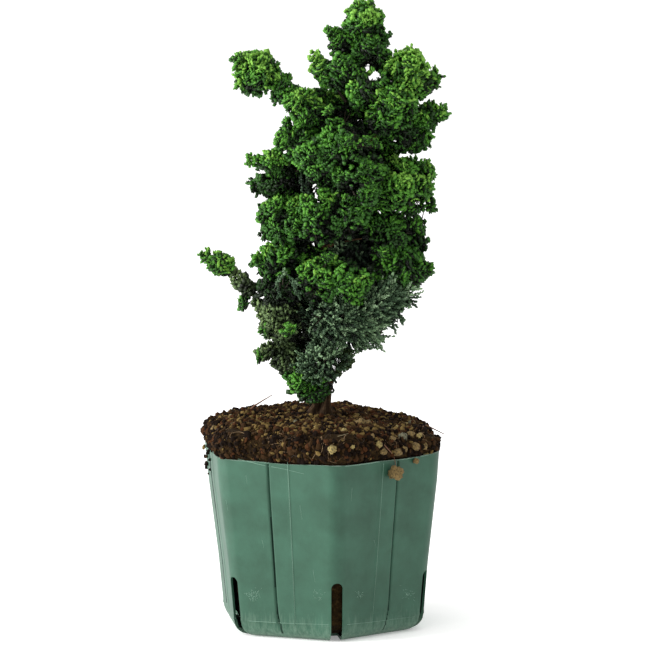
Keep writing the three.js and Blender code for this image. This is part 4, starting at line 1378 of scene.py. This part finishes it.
# The lobes of one spray as matrices, how far out each of them is, and its ribs; its own Y points to its tip
def growSpray(kind, random):
    length = kind["length"]
    lobeLength, lobeWidth = kind["lobe"]
    atTip, atRoot, within = sprayShape["lobeRoots"]
    nearest, further = sprayShape["sideRanks"]
    ribFoot, ribTip, ribShort = sprayShape["ribEnds"]
    flat = kind["turn"] == 180
    up, along = Vector((0, 0, 1)), Vector((0, 1, 0))
    lobes, ranks, ribs = [], [], []

    def uneven():
        return 1 + sprayShape["uneven"] * (2 * random() - 1)

    def addLobe(root, heading, normal, rank, size):
        across = heading.cross(normal)
        if rank > 0:
            heading = Matrix.Rotation(math.radians(sprayShape["tipLift"]) * uneven(), 3, across) @ heading
        roll = math.radians(sprayShape["roll"]) * (2 * random() - 1)
        across = Matrix.Rotation(roll, 3, heading) @ across
        size *= uneven()
        bend = Vector((0, 0, sprayShape["cup"] * root.x ** 2 / length))
        lobes.append(fromColumns([across * lobeWidth * size, heading * lobeLength * size,
                                  across.cross(heading) * sprayShape["lobeThickness"], root + bend]))
        ranks.append(rank)

    def addBranch(root, heading, normal, size, count):
        for i in range(count):
            last = i == count - 1
            side = 0 if last else math.radians(kind["fork"]) * (1 if i % 2 else -1)
            fork = Matrix.Rotation(side, 3, normal) @ heading
            at = root + heading * (size - lobeLength * atTip) * (i + atRoot) / (count - within)
            if last:
                addLobe(at, fork, normal, 1, 1)
            else:
                addLobe(at, fork, normal, nearest + further * i / count, sprayShape["sideLobe"])
        if size > lobeLength * sprayShape["leastRib"]:
            ribs.append((root, root + heading * (size - lobeLength * ribShort)))

    lowest, spread = sprayShape["branchFrom"]
    wide, less = sprayShape["branchAngle"]
    for i in range(kind["branches"]):
        share = lowest + spread * i / (kind["branches"] - 1)
        roll = 180 * (i % 2) + sprayShape["branchRoll"] * (random() - 0.5) if flat else kind["turn"] * i
        normal = Matrix.Rotation(math.radians(roll), 3, along) @ up
        angle = math.radians(kind["angle"] * (wide - less * share) * uneven())
        heading = Matrix.Rotation(angle, 3, normal) @ along
        size = length * kind["share"] * (1 - sprayShape["branchShorter"] * share) * uneven()
        normal = up if flat else normal
        addBranch(along * length * share, heading, normal, max(lobeLength, size), kind["lobes"])
    start, share = sprayShape["leader"]
    addBranch(along * length * start, along, up, length * share, max(2, kind["lobes"] // 2))
    ribs.append((along * ribFoot, along * length * ribTip))
    return np.array(lobes), np.array(ranks), ribs


# The 3 x 4 matrix of a thin twig, drawn from a cone of length 1 along Z
def twigMatrix(start, end, radius):
    axis = end - start
    turn = Vector((0, 0, 1)).rotation_difference(axis.normalized()).to_matrix()
    return placeMatrix(turn, (radius, radius, axis.length), start)


def nearLimb(point, margin):
    for path, radii, _, _ in limbs.values():
        for i in range(0, len(path), 8):
            if (path[i] - point).length_squared < (radii[i] + margin) ** 2:
                return True
    return False


# How much of a stretch from a point inside a mass stays inside its reach and its walls
def shareInside(egg, start, end):
    share = 1
    for normal, offset in egg["walls"]:
        before, after = normal.dot(start), normal.dot(end)
        limit = offset + growth["mingle"]
        if after > limit:
            share = min(share, max(0, (limit - before) / (after - before)))
    measure = eggSlope(egg, end).dot(end - egg["centre"])
    if measure > egg["furthest"] ** 2:
        share = min(share, egg["furthest"] / math.sqrt(measure))
    return share


# Rings of sprays round an axis, each one as long as its mass has room for
def growTuft(egg, base, axis, size, tone, variants, random, sprays):
    kind = sprayKinds[egg["kind"]]
    reach = kind["reach"] * size
    side = axis.orthogonal().normalized()
    first = 2 * math.pi * random()
    for count, start, tilt, share in kind["rings"]:
        root = base + axis * reach * start
        for i in range(count):
            turn = first + 2 * math.pi * (i + growth["sprayTurn"] * random()) / count
            around = Matrix.Rotation(turn, 3, axis) @ side
            angle = math.radians(tilt * chance(growth["sprayTilt"], random))
            heading = axis * math.cos(angle) + around * math.sin(angle)
            grow = chance(growth["sprayLength"], random)
            roll, shade, variant = random() - 0.5, random() - 0.5, random()
            length = reach * share * grow
            inside = shareInside(egg, root, root + heading * length)
            if inside < growth["leastInside"]:
                continue
            scale = length * inside / kind["length"]
            face = (axis - heading * axis.dot(heading)).normalized()
            face = Matrix.Rotation(roll * growth["sprayRoll"], 3, heading) @ face
            place = fromColumns([heading.cross(face) * scale, heading * scale, face * scale, root])
            pick = int(variant * len(variants[egg["kind"]]))
            lit = tone + growth["spraySunlit"] * heading.z + kind["contrast"][1] * shade
            sprays.append((egg["kind"], pick, egg["colours"], lit, place, "free" not in egg))
        first += 1


# All the sprays of one mass, and the twigs that carry them
def growMass(egg, variants, sprays, twigs):
    random = makeRandom(growth["seed"] + growth["seedStep"] * egg["number"])
    for _ in range(growth["coreDraws"]):
        random()
    radii = growth["twigRadii"]
    mains = []
    for direction in evenDirections(egg, growth["mainSpacing"], random):
        random()
        lump = between(growth["lumps"], random())
        reach = growth["coreShare"] * eggRadius(egg, direction)
        if roomAlong(egg, direction) < reach * growth["leastRoom"]:
            continue
        knot = egg["centre"] + direction * min(reach, roomAlong(egg, direction)) * growth["knot"]
        along = (knot - egg["centre"]).dot(egg["axis"]) - egg["half"] * growth["fork"]
        fork = egg["centre"] + egg["axis"] * max(along, -growth["coreShare"] * egg["half"])
        mains.append((direction, fork, knot, lump))
        twigs.append(twigMatrix(fork, knot, radii["main"]))
    stemEnd = egg["tip"] - egg["axis"] * growth["stemShort"] * egg["length"]
    twigs.append(twigMatrix(egg["foot"], stemEnd, radii["stem"]))
    kind = sprayKinds[egg["kind"]]
    lift = Vector((0, 0, growth["lift"]))
    for size in growth["leaders"]:
        base = egg["tip"] - egg["axis"] * kind["reach"] * size
        growTuft(egg, base, egg["axis"], 1, growth["shells"][0][2] + egg["lift"], variants, random, sprays)
    for spacing, reaches, level, size in growth["shells"]:
        for direction in evenDirections(egg, spacing, random):
            reach, grow = random(), chance(growth["tuftSizes"], random)
            shade, lives = random() - 0.5, random()
            main, fork, knot, lump = max(mains, key=lambda item: item[0].dot(direction))
            direction = (direction + main * growth["gather"]).normalized()
            reach = eggRadius(egg, direction) * between(reaches, reach) * lump
            room = roomAlong(egg, direction)
            if room < reach * growth["leastRoom"] or lives < growth["bare"]:
                continue
            reach = min(reach, room)
            axis = (direction + egg["axis"] * kind["lean"] + lift).normalized()
            base = egg["centre"] + direction * reach - axis * kind["reach"] * size * grow
            if nearLimb(base, 0.5):
                continue
            # inner shells take a lower level, painted shade inside the crown; upward tufts are painted
            # lighter as sunlit
            tone = level + egg["lift"] + growth["tuftTone"] * shade + growth["sunlit"] * direction.z
            before = len(sprays)
            growTuft(egg, base, axis, size * grow, tone, variants, random, sprays)
            if len(sprays) > before:
                middle = base + axis * kind["reach"] * 0.5
                twigs.append(twigMatrix(fork.lerp(knot, growth["tuftFork"]), middle, radii["tuft"]))


# One shoot, on a twig from its mass's main one
def growShoot(eggs, shoot, variants, random, sprays, twigs):
    name, lift, size, depth, root, tip, *looks = shoot
    colours, kind = looks or ("green", "fan")
    mass = next(egg for egg in eggs if egg["name"] == name)
    root, tip = pointAtDepth(*root, depth), pointAtDepth(*tip, depth)
    free = dict(mass, kind=kind, colours=colours, walls=[], furthest=math.inf, free=True)
    tone = growth["shootLevel"] + lift
    growTuft(free, root, (tip - root).normalized(), size, tone, variants, random, sprays)
    along = max(0, (root - mass["foot"]).dot(mass["axis"]))
    fork = mass["foot"] + mass["axis"] * min(growth["shootFork"] * mass["length"], along)
    twigs.append(twigMatrix(fork, root, growth["twigRadii"]["shoot"]))


# Columns and rows in the picture of points given in mm, and how far each is from the camera
def pictureSpots(points):
    matrix = np.array(cameraObject.matrix_world.inverted())
    seen = (points * mm) @ matrix[:3, :3].T + matrix[:3, 3]
    size, middle = view["pictureSize"], view["pictureSize"] / 2
    scale = view["distance"] * mm / -seen[:, 2] * size / (view["pictureWidth"] * mm)
    return middle + seen[:, 0] * scale, middle - seen[:, 1] * scale


# Which points lie in one of the spots, whose edges are more or less ragged
def insideSpots(columns, rows, spots, ragged):
    inside = np.zeros(len(columns), bool)
    edge = 1 + ragged * (np.sin(0.55 * columns + 0.3 * rows) + np.sin(0.62 * rows - 0.28 * columns))
    for column, row, halfWidth, halfHeight in spots:
        inside |= ((columns - column) / halfWidth) ** 2 + ((rows - row) / halfHeight) ** 2 < edge
    return inside


# Leaves out the twigs that would end in the open sky
def trimTwigs(twigs):
    places = np.array(twigs)
    columns, rows = pictureSpots((places[:, :, 3] + places[:, :, 2]) / mm)
    inSky = insideSpots(columns, rows, skyGaps, 0)
    return [twig for twig, outside in zip(twigs, inSky) if not outside]


def joinFoliage():
    random = makeRandom(sprayShape["seed"])
    variants = {name: [growSpray(kind, random) for _ in range(sprayShape["variants"])]
                for name, kind in sprayKinds.items()}
    eggs = [makeEgg(number, row) for number, row in enumerate(masses)]
    buildWalls(eggs)
    sprays, twigs = [], []
    for egg in eggs:
        growMass(egg, variants, sprays, twigs)
    for shoot in shoots:
        growShoot(eggs, shoot, variants, random, sprays, twigs)
    draws = np.random.default_rng(sprayShape["seed"])
    dealt = {(colours, tone): [] for colours in leafColours for tone in range(6)}
    ribs = {colours: [] for colours in leafColours}
    freeRibs = {colours: [] for colours in leafColours}
    total = 0
    for kind, pick, colours, tone, place, trimmed in sprays:
        lobes, ranks, lines = variants[kind][pick]
        turned = np.matmul(place[:, :3], lobes)
        turned[:, :, 3] += place[:, 3]
        middles = turned[:, :, 3] + turned[:, :, 1] * 0.6
        columns, rows = pictureSpots(middles)
        inHollow = insideSpots(columns, rows, hollows, raggedness["hollows"]) & trimmed
        inGap = insideSpots(columns, rows, skyGaps, raggedness["skyGaps"]) & trimmed
        keep = ~inGap & ~(inHollow & (middles[:, 1] < hollowDepth))
        uneven = draws.uniform(-growth["unevenTone"], growth["unevenTone"], len(ranks))
        # lobes nearer a spray's root and those lining a hollow take darker tones, which is painted shade
        tones = tone + ranks * sprayKinds[kind]["contrast"][0] + uneven - growth["hollowShade"] * inHollow
        tones = np.clip(np.round(tones), 0, 5).astype(int)
        total += keep.sum()
        for step in set(tones[keep]):
            dealt[colours, step].append(turned[keep & (tones == step)] * mm)
        if keep.mean() > 0.5:
            turn, root = Matrix(place[:, :3]), Vector(place[:, 3])
            for start, end in lines:
                rib = twigMatrix(turn @ start + root, turn @ end + root, growth["twigRadii"]["rib"])
                (ribs if trimmed else freeRibs)[colours].append(rib)
    ribs = {colours: trimTwigs(ribs[colours]) + freeRibs[colours] for colours in leafColours}
    shown = trimTwigs(twigs[:-len(shoots)]) + twigs[-len(shoots):]
    print(f"{total} lobes in {len(sprays)} sprays on {len(shown)} twigs")
    return dealt, ribs, shown


# A three-sided twig along Z with a length of 1, tapering to a share of its width
def twigShape(tip, closed):
    bm = bmesh.new()
    bmesh.ops.create_cone(bm, cap_ends=closed, segments=3, radius1=1, radius2=tip, depth=1)
    bmesh.ops.translate(bm, vec=(0, 0, 0.5), verts=bm.verts)
    return shapeArrays(bm)


# Scale leaves: waxy and tough, so they are a little glossy
def leafMaterial(name, colour):
    return newMaterial(name, colour, 0.55, Specular_IOR_Level=0.25)[0]


def makeFoliage():
    nodes = ["foliage_" + row[0] for row in masses]
    dealt, ribs, twigs = joinFoliage()
    shape = lobeShape()
    most = growth["mostTriangles"] // len(shape[1])
    for (colours, tone), parts in dealt.items():
        if not parts:
            continue
        places = np.concatenate(parts)
        material = leafMaterial(f"{colours} scale leaves {tone}", leafColours[colours][tone])
        for number, start in enumerate(range(0, len(places), most)):
            name = f"{colours}_leaves_{tone}" + (f"_{number}" if len(places) > most else "")
            mesh = repeatShape(name, shape, places[start:start + most])
            keepPiece(newObject(name, mesh, [material]), nodes)
    bark, _, _ = newMaterial("young bark", "#2c2418", 0.85)
    mesh = repeatShape("twigs", twigShape(0.55, False), twigs)
    keepPiece(newObject("twigs", mesh, [bark]), nodes)
    rib = twigShape(0, True)
    for colours, places in ribs.items():
        name = f"{colours}_ribs"
        material = leafMaterial(f"{colours} green ribs", leafColours[colours][2])
        keepPiece(newObject(name, repeatShape(name, rib, places), [material]), nodes)


makeFoliage()
print("foliage is grown")
